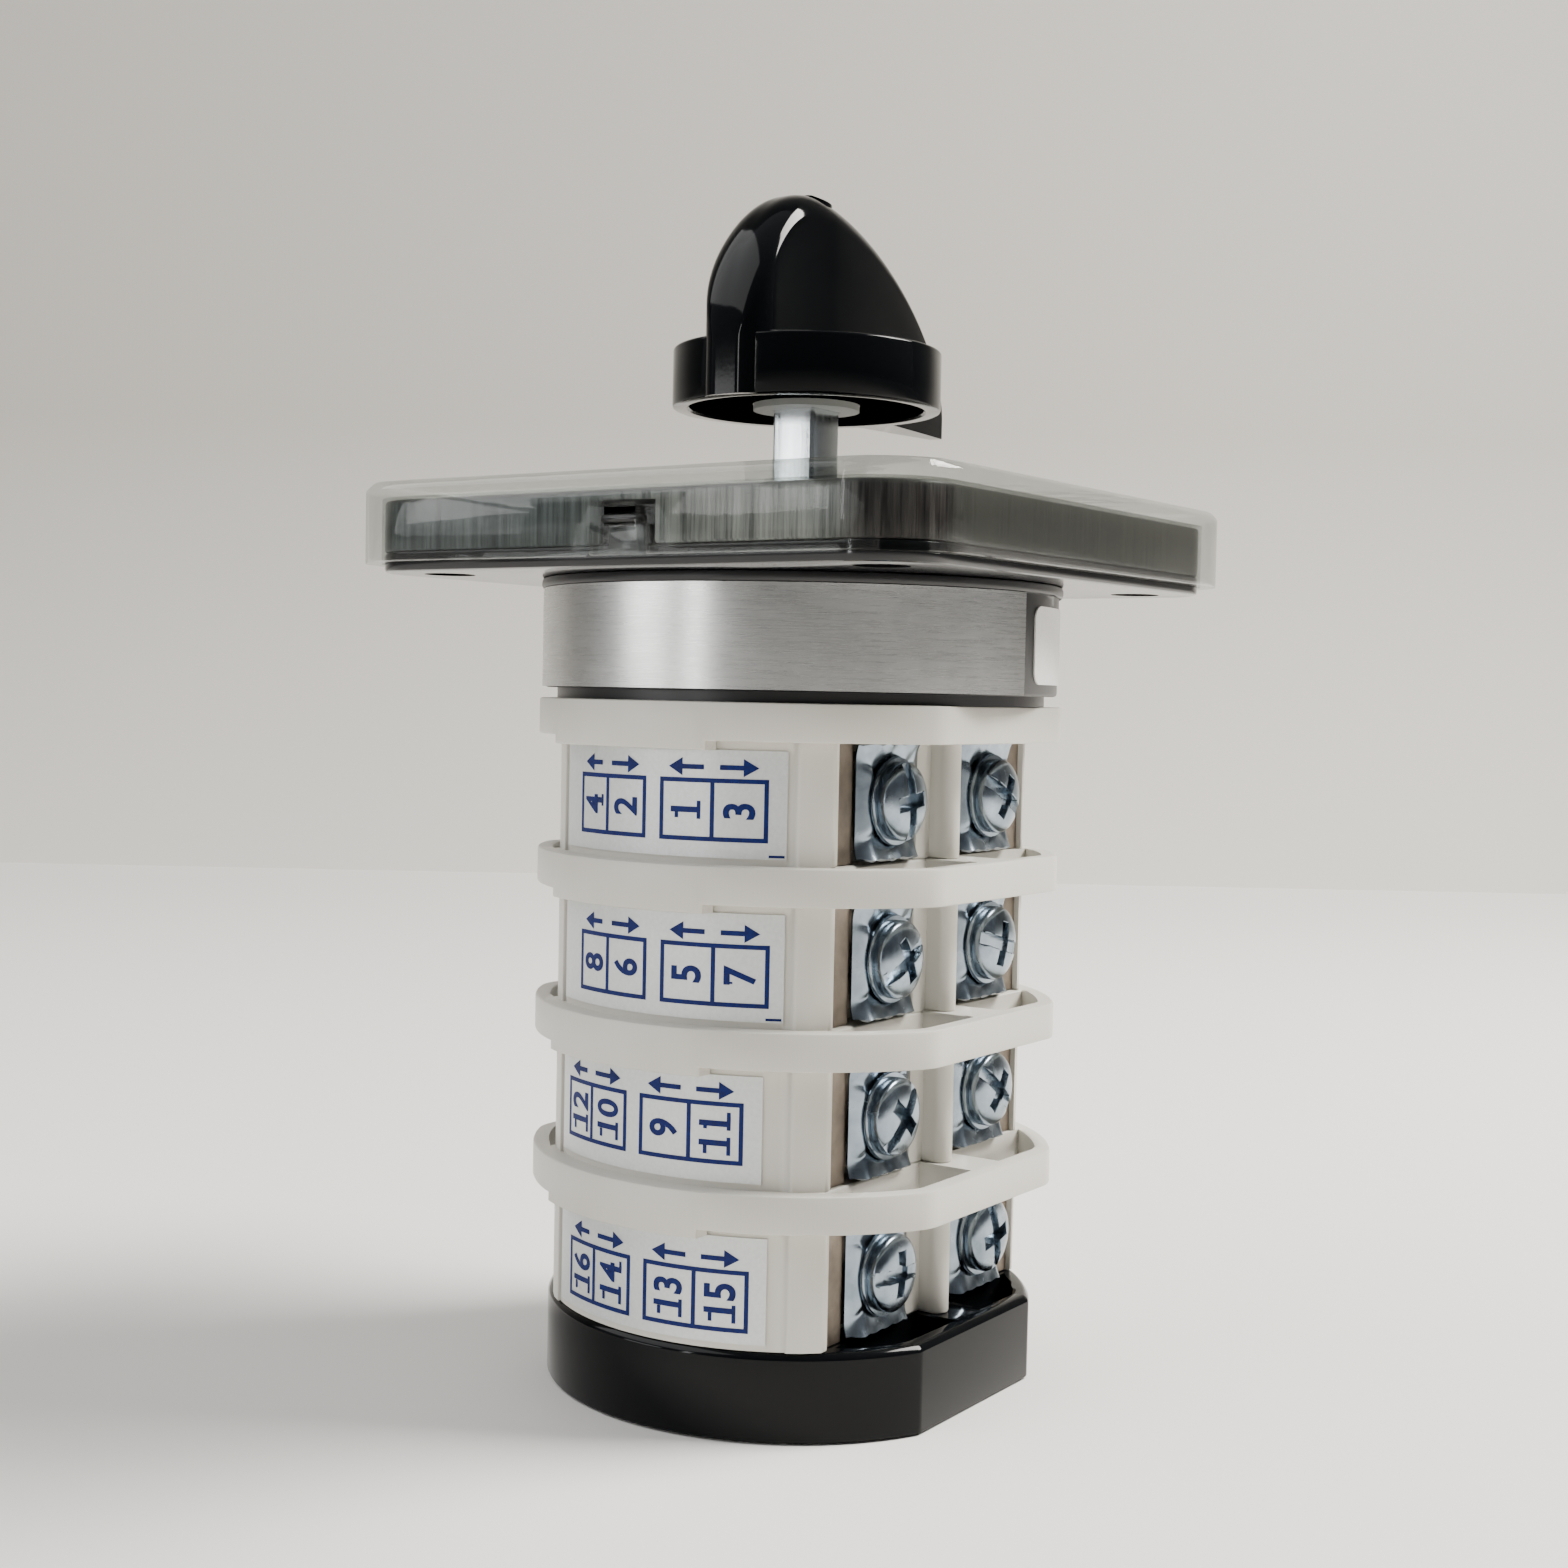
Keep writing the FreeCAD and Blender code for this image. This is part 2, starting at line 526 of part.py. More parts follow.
def fixed_contact(floor):
    """The brass terminal plate at +X, -Y, its side tab and its arm that reaches into the chamber."""
    centre = floor + WORK_PLANE
    under_hoop = floor + STAGE_PITCH - HOOP_HEIGHT
    inner_x = RECESS_FLOOR_X + TERMINAL_PLATE_GAP
    half = RECESS_HALF_WIDTH - TERMINAL_PLATE_GAP
    plate = block(inner_x, TERMINAL_FACE_X, -TERMINAL_Y - half, -TERMINAL_Y + half,
                  centre - TERMINAL_PLATE_HALF_HEIGHT, centre + TERMINAL_PLATE_HALF_HEIGHT)
    tab_end = -SIDE_END_Y + SIDE_STEP + TERMINAL_PLATE_GAP
    tab = block(inner_x, BODY_SIDE - SIDE_STEP, tab_end, -TERMINAL_Y - half, floor + TERMINAL_PLATE_GAP,
                under_hoop - TERMINAL_PLATE_GAP)
    arm = block(ARM_END_X, inner_x, -ARM_OUTER_Y, -ARM_INNER_Y, centre - ARM_HALF_HEIGHT,
                centre + ARM_HALF_HEIGHT)
    pad = block(PAD_X - PAD_HALF, PAD_X + PAD_HALF, -ARM_OUTER_Y - PAD_HEIGHT, -ARM_OUTER_Y,
                centre - PAD_HALF, centre + PAD_HALF)
    hole = shank(SCREW_SHANK_RADIUS + THREAD_CLEARANCE, inner_x, TERMINAL_FACE_X, -TERMINAL_Y, centre)
    return plate.fuse([tab, arm, pad]).cut(hole)


def clamp_plate(centre):
    """The pressed saddle under a terminal screw at +X, -Y, its top and bottom edges curled out."""
    half_z = CLAMP_HALF_HEIGHT
    bend = half_z - CLAMP_LIP
    y0 = -TERMINAL_Y - CLAMP_HALF_WIDTH
    section = [V(CLAMP_INNER_X, y0, centre - bend), V(CLAMP_INNER_X + CLAMP_LIP_OUT, y0, centre - half_z),
               V(CLAMP_OUTER_X + CLAMP_LIP_OUT, y0, centre - half_z), V(CLAMP_OUTER_X, y0, centre - bend),
               V(CLAMP_OUTER_X, y0, centre + bend), V(CLAMP_OUTER_X + CLAMP_LIP_OUT, y0, centre + half_z),
               V(CLAMP_INNER_X + CLAMP_LIP_OUT, y0, centre + half_z), V(CLAMP_INNER_X, y0, centre + bend)]
    blank = prism(lines(section), V(0, 2 * CLAMP_HALF_WIDTH, 0))
    hole = shank(SCREW_SHANK_RADIUS + HOLE_CLEARANCE, CLAMP_INNER_X, CLAMP_OUTER_X, -TERMINAL_Y, centre)
    return blank.cut(hole)


def terminal_screw(centre, turn):
    """A pan head screw with a slot and a captive washer under its head, the head towards +X."""
    washer = sided_bar(HEAD_SIDES, WASHER_RADIUS, V(-WASHER_THICKNESS, 0, 0), V(WASHER_THICKNESS, 0, 0))
    head = sided_bar(HEAD_SIDES, SCREW_HEAD_RADIUS, V(0, 0, 0), V(SCREW_HEAD_HEIGHT, 0, 0))
    length = HEAD_SEAT_X - RECESS_FLOOR_X + SCREW_TIP_DEPTH
    slot_half = SCREW_SLOT_WIDTH / 2
    slot = block(SCREW_HEAD_HEIGHT - SCREW_SLOT_DEPTH, SCREW_HEAD_HEIGHT, -SCREW_HEAD_RADIUS,
                 SCREW_HEAD_RADIUS, -slot_half, slot_half)
    head = head.cut(slot)
    head.rotate(V(0, 0, 0), V(1, 0, 0), turn)
    screw = head.fuse([washer, shank(SCREW_SHANK_RADIUS, -length, -WASHER_THICKNESS, 0, 0)])
    screw.translate(V(HEAD_SEAT_X, -TERMINAL_Y, centre))
    return screw


def cam_point(off, z):
    """The point of the cam's +Y flank at an angle from its middle: the radius grows evenly."""
    return polar(CAM_MID_RADIUS + PLUNGER_TRAVEL * off / SWITCH_ANGLE, QUARTER_TURN + off, z)


def cam_profile(z):
    """The cam's edge: two flanks of four arcs each, joined by a high and a low dwell."""
    edges = []
    for i in range(CAM_ARCS):
        start = SWITCH_ANGLE * (2 * i / CAM_ARCS - 1)
        step = SWITCH_ANGLE / CAM_ARCS
        points = [cam_point(start + step * k, z) for k in range(3)]
        edges.append(arc(*points))
        edges.append(arc(*[V(p.x, -p.y, p.z) for p in points]))
    for off, radius in ((SWITCH_ANGLE, -CAM_MID_RADIUS - PLUNGER_TRAVEL),
                        (-SWITCH_ANGLE, CAM_MID_RADIUS - PLUNGER_TRAVEL)):
        end = cam_point(off, z)
        edges.append(arc(end, V(radius, 0, z), V(end.x, -end.y, z)))
    return edges


def square_hole(z0, z1):
    """The square hole that drives a piece from the shaft."""
    half = SHAFT_SIDE / 2 + SHAFT_FIT
    return block(-half, half, -half, half, z0, z1)


def cam(floor):
    """A cam with its hub, threaded on the square shaft."""
    centre = floor + WORK_PLANE
    disc = prism(cam_profile(centre - CAM_HALF_HEIGHT), V(0, 0, 2 * CAM_HALF_HEIGHT))
    bottom = floor + CAM_END_GAP
    top = floor + STAGE_PITCH - CAM_END_GAP
    return disc.fuse(bolt(HEAD_SIDES, CAM_HUB_RADIUS, bottom, top)).cut(square_hole(bottom, top))


def plunger(floor):
    """The front plunger: round nose on the cam, shoulders, and a window for the bridge."""
    centre = floor + WORK_PLANE
    bottom = centre - PLUNGER_HALF_HEIGHT
    width = PLUNGER_HALF_WIDTH
    shoulder = -NOSE_Y - PLUNGER_SHOULDER
    left = V(-NOSE_RADIUS, -NOSE_Y, bottom)
    tip = V(0, -NOSE_Y + NOSE_RADIUS, bottom)
    right = V(NOSE_RADIUS, -NOSE_Y, bottom)
    path = [right, V(width, shoulder, bottom), V(width, -PLUNGER_END_Y, bottom),
            V(-width, -PLUNGER_END_Y, bottom), V(-width, shoulder, bottom), left]
    outline = [Part.makeLine(a, b) for a, b in zip(path, path[1:])] + [arc(left, tip, right)]
    slide = prism(outline, V(0, 0, 2 * PLUNGER_HALF_HEIGHT))
    half = BRIDGE_HALF_HEIGHT + BRIDGE_FIT
    window = block(-PLUNGER_HALF_WIDTH, PLUNGER_HALF_WIDTH, -BRIDGE_Y - BRIDGE_THICKNESS - BRIDGE_FIT,
                   -BRIDGE_Y + BRIDGE_FIT, centre - half, centre + half)
    return slide.cut(window)


def bridge(floor):
    """The front moving contact: a bar with a silver pad at each end."""
    centre = floor + WORK_PLANE
    bar = block(-BRIDGE_HALF_LENGTH, BRIDGE_HALF_LENGTH, -BRIDGE_Y - BRIDGE_THICKNESS, -BRIDGE_Y,
                centre - BRIDGE_HALF_HEIGHT, centre + BRIDGE_HALF_HEIGHT)
    pads = [block(x - PAD_HALF, x + PAD_HALF, -BRIDGE_Y, -BRIDGE_Y + PAD_HEIGHT, centre - PAD_HALF,
                  centre + PAD_HALF) for x in (-PAD_X, PAD_X)]
    return bar.fuse(pads)


def return_spring(floor):
    """The bent leaf spring between the front plunger and the housing's front wall."""
    bottom = floor + WORK_PLANE - LEAF_HALF_HEIGHT
    back = PLUNGER_END_Y + SPRING_END_GAP
    foot = math.sqrt(CHAMBER_RADIUS ** 2 - LEAF_HALF_LENGTH ** 2) - SPRING_END_GAP
    inner = [V(-LEAF_HALF_LENGTH, -foot, bottom), V(-LEAF_HALF_FLAT, -back - LEAF_THICKNESS, bottom),
             V(LEAF_HALF_FLAT, -back - LEAF_THICKNESS, bottom), V(LEAF_HALF_LENGTH, -foot, bottom)]
    outer = [p + V(0, LEAF_THICKNESS, 0) for p in reversed(inner)]
    return prism(lines(inner + outer), V(0, 0, 2 * LEAF_HALF_HEIGHT))


def shaft():
    """The square steel shaft, its upright edges eased, tapped at the top for the knob's screw."""
    half = SHAFT_SIDE / 2
    bar = block(-half, half, -half, half, SHAFT_BOTTOM, SHAFT_TOP)
    bar = bar.makeChamfer(SHAFT_CORNER, upright_edges(bar))
    tapped = KNOB_SCREW_SEAT - KNOB_SCREW_LENGTH
    return bar.cut(bolt(SHANK_SIDES, KNOB_SCREW_RADIUS + THREAD_CLEARANCE, tapped, SHAFT_TOP))


def hexagon(z0, z1):
    """The detent wheel's six flats, a flat towards +X."""
    corner = WHEEL_HALF_FLATS / math.cos(math.radians(HEX_STEP / 2))
    outline = lines([polar(corner, HEX_STEP * (i + 0.5), z0) for i in range(HEX_SIDES)])
    slab = prism(outline, V(0, 0, z1 - z0))
    return slab.makeFillet(WHEEL_CORNER, upright_edges(slab))


def detent_wheel():
    """The six-sided indexing wheel and the round hub that runs in the head."""
    bottom = STACK_TOP + CAM_END_GAP
    top = HEAD_TOP_FACE
    wheel = hexagon(WHEEL_BOTTOM, WHEEL_BOTTOM + WHEEL_HEIGHT).fuse(rod(WHEEL_HUB_RADIUS, bottom, top))
    return wheel.cut(square_hole(bottom, top))


def stop_plate():
    """The steel disc whose lug meets the head's stop blocks at each end of the turn."""
    z1 = STOP_BOTTOM + STOP_THICKNESS
    lug = curved_strip(WHEEL_HUB_RADIUS + OVERCUT, STOP_LUG_RADIUS, QUARTER_TURN - STOP_LUG_HALF_ANGLE,
                       QUARTER_TURN + STOP_LUG_HALF_ANGLE, STOP_BOTTOM, z1)
    disc = rod(STOP_DISC_RADIUS, STOP_BOTTOM, z1).fuse(lug)
    return disc.cut(rod(WHEEL_HUB_RADIUS + STOP_PLATE_FIT, STOP_BOTTOM, z1))


def detent_spring():
    """The leaf spring bent to a U, whose legs press on two flats of the wheel."""
    inner = WHEEL_HALF_FLATS + SPRING_LEAF_GAP
    outer = inner + SPRING_LEAF
    z0 = WHEEL_BOTTOM + (WHEEL_HEIGHT - SPRING_LEAF_HEIGHT) / 2
    foot = -SPRING_LEG_DOWN
    turn = SPRING_BEND_CENTRE
    edges = [
        Part.makeLine(V(inner, foot, z0), V(outer, foot, z0)),
        Part.makeLine(V(outer, foot, z0), V(outer, turn, z0)),
        arc(V(outer, turn, z0), V(0, turn + outer, z0), V(-outer, turn, z0)),
        Part.makeLine(V(-outer, turn, z0), V(-outer, foot, z0)),
        Part.makeLine(V(-outer, foot, z0), V(-inner, foot, z0)),
        Part.makeLine(V(-inner, foot, z0), V(-inner, turn, z0)),
        arc(V(-inner, turn, z0), V(0, turn + inner, z0), V(inner, turn, z0)),
        Part.makeLine(V(inner, turn, z0), V(inner, foot, z0)),
    ]
    return prism(edges, V(0, 0, SPRING_LEAF_HEIGHT))


def head_base():
    """The black plate under the head, which closes the top stage and holds the tie nuts."""
    plate = rod(NECK_RADIUS, STACK_TOP, HEAD_BOTTOM)
    hole = rod(WHEEL_HUB_RADIUS + BEARING_CLEARANCE, STACK_TOP, HEAD_BOTTOM)
    tie = bolt(SHANK_SIDES, TIE_RADIUS + TIE_CLEARANCE, STACK_TOP, HEAD_BOTTOM, TIE_X)
    return plate.cut([hole, tie, mirrored_x(tie)])


def plate_screw_places():
    """The middles of the two screws that hold the front plate."""
    half = PLATE_SCREW_SPACING / 2
    return [(-half, -half), (half, half)]


def head_housing():
    """The round black housing of the indexing mechanism, open below."""
    drum = rod(HEAD_RADIUS, HEAD_BOTTOM, HEAD_TOP_FACE)
    rim = rod(HEAD_RADIUS + RIM_PROUD, HEAD_TOP_FACE - RIM_HEIGHT, HEAD_TOP_FACE)
    cavity = rod(HEAD_RADIUS - HEAD_WALL, HEAD_BOTTOM, HEAD_CEILING)
    hole = rod(WHEEL_HUB_RADIUS + BEARING_CLEARANCE, HEAD_CEILING, HEAD_TOP_FACE)
    shell = drum.fuse(rim).cut([cavity, hole])
    bosses = [bolt(HEAD_SIDES, PLATE_SCREW_RADIUS + BOSS_WALL, HEAD_CEILING - PLATE_SCREW_LENGTH,
                   HEAD_CEILING, x, y) for x, y in plate_screw_places()]
    blocks = []
    for side in (-1, 1):
        near = QUARTER_TURN + side * (SWITCH_ANGLE + STOP_LUG_HALF_ANGLE + STOP_CLEARANCE)
        far = near + side * STOP_BLOCK_ANGLE
        blocks.append(curved_strip(STOP_BLOCK_INNER, STOP_LUG_RADIUS, near, far,
                                   STOP_BOTTOM - STOP_RISE / 2, HEAD_CEILING))
    keepers = []
    for side in (-1, 1):
        x0 = WHEEL_HALF_FLATS + SPRING_LEAF_GAP + SPRING_LEAF + KEEPER_GAP
        keeper = block(x0, x0 + KEEPER_WIDTH, -SPRING_LEG_DOWN, -SPRING_LEG_DOWN + KEEPER_WIDTH,
                       WHEEL_BOTTOM, HEAD_CEILING)
        keepers.append(keeper if side > 0 else mirrored_x(keeper))
    shell = shell.fuse(bosses + blocks + keepers)
    holes = [bolt(SHANK_SIDES, PLATE_SCREW_RADIUS + THREAD_CLEARANCE, HEAD_CEILING - PLATE_SCREW_LENGTH,
                  HEAD_TOP_FACE, x, y) for x, y in plate_screw_places()]
    return shell.cut(holes)


def rating_band():
    """The thin aluminium band round the head."""
    return curved_strip(HEAD_RADIUS, HEAD_RADIUS + BAND_THICKNESS, -QUARTER_TURN - BAND_HALF_ANGLE,
                        -QUARTER_TURN + BAND_HALF_ANGLE, HEAD_BOTTOM + BAND_MARGIN,
                        HEAD_TOP_FACE - RIM_HEIGHT)


def blank_sticker():
    """The small white sticker beside the band, its corners rounded."""
    span = math.degrees(STICKER_LENGTH / HEAD_RADIUS)
    middle = (HEAD_BOTTOM + HEAD_TOP_FACE - RIM_HEIGHT) / 2
    strip = curved_strip(HEAD_RADIUS, HEAD_RADIUS + STICKER_THICKNESS, STICKER_START_ANGLE,
                         STICKER_START_ANGLE + span, middle - STICKER_HEIGHT / 2, middle + STICKER_HEIGHT / 2)
    short = [e for e in strip.Edges if e.Length < 2 * STICKER_THICKNESS]
    return strip.makeFillet(STICKER_CORNER, short)


def catch_places():
    """The turns that bring a latch to the front and to the back side of the cover."""
    return (0, HALF_TURN)


def back_plate():
    """The black front plate with mounting holes and the two catches for the cover."""
    plate = rounded_square(PLATE_SIZE, PLATE_CORNER, HEAD_TOP_FACE, PLATE_TOP_FACE)
    half = LATCH_WINDOW_WIDTH / 2 - CATCH_CLEARANCE
    edge = PLATE_SIZE / 2
    top = WINDOW_BOTTOM + LATCH_WINDOW_HEIGHT - CATCH_CLEARANCE
    section = [V(0, -edge, PLATE_TOP_FACE), V(0, -edge + CATCH_POST, PLATE_TOP_FACE),
               V(0, -edge + CATCH_POST, top), V(0, -COVER_SIZE / 2 + COVER_WALL / 2, top - CATCH_POST / 2),
               V(0, -COVER_SIZE / 2 + COVER_WALL / 2, WINDOW_BOTTOM + CATCH_CLEARANCE),
               V(0, -edge, WINDOW_BOTTOM + CATCH_CLEARANCE)]
    catch = prism(lines(section), V(2 * half, 0, 0))
    catch.translate(V(LATCH_OFFSET - half, 0, 0))
    plate = plate.fuse([turned(catch, angle) for angle in catch_places()])
    spread = MOUNT_SPACING / 2
    holes = [rod(MOUNT_HOLE_RADIUS, HEAD_TOP_FACE, PLATE_TOP_FACE, x, y)
             for x in (-spread, spread) for y in (-spread, spread)]
    holes += [bolt(SHANK_SIDES, PLATE_SCREW_RADIUS + HOLE_CLEARANCE, HEAD_TOP_FACE, PLATE_TOP_FACE, x, y)
              for x, y in plate_screw_places()]
    holes.append(rod(SHAFT_HOLE_RADIUS, HEAD_TOP_FACE, PLATE_TOP_FACE))
    return plate.cut(holes)


def legend_plate():
    """The grey tray that carries the position marks, open below."""
    tray = rounded_square(PLATE_SIZE, PLATE_CORNER, PLATE_TOP_FACE, LEGEND_TOP_FACE)
    hollow = rounded_square(PLATE_SIZE - 2 * LEGEND_WALL, PLATE_CORNER - LEGEND_WALL, PLATE_TOP_FACE,
                            LEGEND_TOP_FACE - LEGEND_WALL)
    half = LATCH_WIDTH / 2
    gap = block(LATCH_OFFSET - half, LATCH_OFFSET + half, -COVER_SIZE / 2, -PLATE_SIZE / 2 + 2 * LEGEND_WALL,
                PLATE_TOP_FACE, LEGEND_TOP_FACE - LEGEND_WALL)
    hole = rod(SHAFT_HOLE_RADIUS, PLATE_TOP_FACE, LEGEND_TOP_FACE)
    return tray.cut([hollow, hole] + [turned(gap, angle) for angle in catch_places()])


def clear_cover():
    """The clear cover that snaps over the front plate."""
    shell = rounded_square(COVER_SIZE, COVER_CORNER, COVER_BOTTOM, COVER_TOP_FACE)
    shell = shell.makeChamfer(COVER_EDGE, level_edges(shell, COVER_TOP_FACE))
    hollow = rounded_square(COVER_INNER_SIZE, COVER_CORNER - COVER_WALL, COVER_BOTTOM,
                            COVER_TOP_FACE - COVER_TOP)
    hole = rod(SHAFT_HOLE_RADIUS, COVER_BOTTOM, COVER_TOP_FACE)
    outside = -COVER_SIZE / 2
    inside = outside + COVER_WALL
    half = LATCH_WINDOW_WIDTH / 2
    window = block(LATCH_OFFSET - half, LATCH_OFFSET + half, outside, inside, WINDOW_BOTTOM,
                   WINDOW_BOTTOM + LATCH_WINDOW_HEIGHT)
    reach = LATCH_WIDTH / 2
    slits = [block(LATCH_OFFSET + side * reach - LATCH_SLIT / 2, LATCH_OFFSET + side * reach + LATCH_SLIT / 2,
                   outside, inside, COVER_BOTTOM, WINDOW_BOTTOM) for side in (-1, 1)]
    cuts = [turned(cut, angle) for cut in [window] + slits for angle in catch_places()]
    return shell.cut([hollow, hole] + cuts)


def plate_screw(x, y):
    """A pan head screw that holds the front plate to the head."""
    head = bolt(HEAD_SIDES, PLATE_SCREW_HEAD_RADIUS, PLATE_TOP_FACE, PLATE_TOP_FACE + PLATE_SCREW_HEAD_HEIGHT,
                x, y)
    slot = block(x - PLATE_SCREW_HEAD_RADIUS, x + PLATE_SCREW_HEAD_RADIUS, y - SCREW_SLOT_WIDTH / 2,
                 y + SCREW_SLOT_WIDTH / 2, PLATE_TOP_FACE + PLATE_SCREW_HEAD_HEIGHT / 2,
                 PLATE_TOP_FACE + PLATE_SCREW_HEAD_HEIGHT)
    thread = bolt(SHANK_SIDES, PLATE_SCREW_RADIUS, HEAD_CEILING - PLATE_SCREW_LENGTH, PLATE_TOP_FACE, x, y)
    return head.fuse(thread).cut(slot)


def end_cap():
    """The glossy black cap under the lowest stage, with wells beside the body."""
    cap = flatted_round(END_CAP_RADIUS, END_CAP_HALF_WIDTH, END_CAP_CORNER, 0, END_CAP_HEIGHT)
    cap = cap.makeChamfer(END_CAP_EDGE, level_edges(cap, END_CAP_HEIGHT))
    well_floor = END_CAP_HEIGHT - END_CAP_WELL
    inner = flatted_round(END_CAP_RADIUS - END_CAP_WALL, END_CAP_HALF_WIDTH - END_CAP_WALL,
                          END_CAP_CORNER / 2, well_floor, END_CAP_HEIGHT)
    beside = block(BODY_SIDE, END_CAP_HALF_WIDTH, -END_CAP_RADIUS, END_CAP_RADIUS, well_floor, END_CAP_HEIGHT)
    web = block(BODY_SIDE, END_CAP_HALF_WIDTH, WEB_OFFSET - WEB_HALF_WIDTH, WEB_OFFSET + WEB_HALF_WIDTH,
                well_floor, END_CAP_HEIGHT)
    well = inner.common(beside).cut(web)
    bore = rod(SHAFT_BORE_RADIUS, SHAFT_BOTTOM - SHAFT_END_GAP, END_CAP_HEIGHT)
    head = bolt(HEAD_SIDES, TIE_HEAD_RADIUS + POCKET_CLEARANCE, 0, TIE_HEAD_DEPTH + TIE_HEAD_HEIGHT, TIE_X)
    hole = bolt(SHANK_SIDES, TIE_RADIUS + TIE_CLEARANCE, 0, END_CAP_HEIGHT, TIE_X)
    tie = head.fuse(hole)
    return cap.cut([well, turned(well, HALF_TURN), bore, tie, mirrored_x(tie)])


def tie_screw(x):
    """A long screw from the end cap up to the head."""
    seat = TIE_HEAD_DEPTH + TIE_HEAD_HEIGHT
    head = bolt(HEAD_SIDES, TIE_HEAD_RADIUS, TIE_HEAD_DEPTH, seat, x)
    slot = block(x - TIE_HEAD_RADIUS, x + TIE_HEAD_RADIUS, -SCREW_SLOT_WIDTH / 2, SCREW_SLOT_WIDTH / 2,
                 TIE_HEAD_DEPTH, TIE_HEAD_DEPTH + TIE_HEAD_HEIGHT / 2)
    return head.fuse(bolt(SHANK_SIDES, TIE_RADIUS, seat, HEAD_BOTTOM + TIE_THREAD_IN_NUT, x)).cut(slot)


def tie_nut(x):
    """The hexagon nut of a tie screw, on the head's base plate, a flat towards the wheel."""
    corners = [polar(TIE_NUT_RADIUS, HEX_STEP * (i + 0.5), HEAD_BOTTOM) for i in range(HEX_SIDES)]
    outline = lines([corner + V(x, 0, 0) for corner in corners])
    nut = prism(outline, V(0, 0, TIE_NUT_HEIGHT))
    return nut.cut(bolt(SHANK_SIDES, TIE_RADIUS + THREAD_CLEARANCE, HEAD_BOTTOM,
                        HEAD_BOTTOM + TIE_NUT_HEIGHT, x))


def knob_ridge(y):
    """Height of the grip's ridge above the rim at a place along the grip."""
    if y < KNOB_PEAK_Y:
        reach = (KNOB_PEAK_Y - y) / (KNOB_PEAK_Y - KNOB_NOSE_Y)
        base = KNOB_BLUNT_RISE
        power = KNOB_BLUNT_POWER
    else:
        reach = (y - KNOB_PEAK_Y) / (KNOB_TIP_Y - KNOB_PEAK_Y)
        base = KNOB_TIP_HEIGHT
        power = KNOB_REAR_POWER
    fall = max(0.0, 1 - reach ** power) ** (1 / power)
    return base + (KNOB_HEIGHT - base) * fall


def knob_half_width(y):
    """Half of the grip's width at a place along it: round at the nose, waisted, narrow at the pointer."""
    if y >= 0:
        taper = (y / KNOB_TIP_Y) ** KNOB_TAPER_POWER
        return KNOB_WAIST_HALF_WIDTH + (KNOB_TIP_HALF_WIDTH - KNOB_WAIST_HALF_WIDTH) * taper
    half = KNOB_WAIST_HALF_WIDTH + (KNOB_BLUNT_HALF_WIDTH - KNOB_WAIST_HALF_WIDTH) * (y / KNOB_RADIUS) ** 2
    short = max(0.0, KNOB_NOSE_Y + KNOB_NOSE_RADIUS - y)
    return half - KNOB_NOSE_RADIUS + math.sqrt(max(0.0, KNOB_NOSE_RADIUS ** 2 - short ** 2))


def grip_section(y):
    """The corners of the grip cut across: upright flanks and a top with eased shoulders."""
    half = knob_half_width(y)
    inset = half * KNOB_SHOULDER
    top = KNOB_BOTTOM + knob_ridge(y)
    right = [V(half, y, KNOB_BOTTOM)]
    for i in range(SHOULDER_STEPS + 1):
        angle = math.pi / 2 * i / SHOULDER_STEPS
        right.append(V(half - inset * (1 - math.cos(angle)), y, top - inset * (1 - math.sin(angle))))
    return right + [V(-p.x, y, p.z) for p in reversed(right)]


def skin(sections):
    """A solid over a row of outlines, joined corner to corner by flat facets."""
    faces = [Part.Face(Part.Wire(lines(end))) for end in (sections[0], sections[-1])]
    for near, far in zip(sections, sections[1:]):
        for i, corner in enumerate(near):
            across = far[i]
            faces.append(Part.Face(Part.Wire(lines([corner, near[i - 1], across]))))
            faces.append(Part.Face(Part.Wire(lines([near[i - 1], far[i - 1], across]))))
    solid = Part.Solid(Part.Shell(faces))
    if solid.Volume < 0:
        solid.reverse()
    return solid.removeSplitter()


def knob_grip():
    """The tall grip: a dome seen from the side, narrow from above, round in front and pointed behind."""
    places = []
    for i in range(KNOB_SECTIONS):
        share = math.cos(math.pi / 2 * i / KNOB_SECTIONS)
        places.append(KNOB_PEAK_Y - (KNOB_PEAK_Y - KNOB_NOSE_Y) * share)
    for i in range(KNOB_SECTIONS + 1):
        share = math.sin(math.pi / 2 * i / KNOB_SECTIONS)
        places.append(KNOB_PEAK_Y + (KNOB_TIP_Y - KNOB_PEAK_Y) * share)
    return skin([grip_section(y) for y in places])


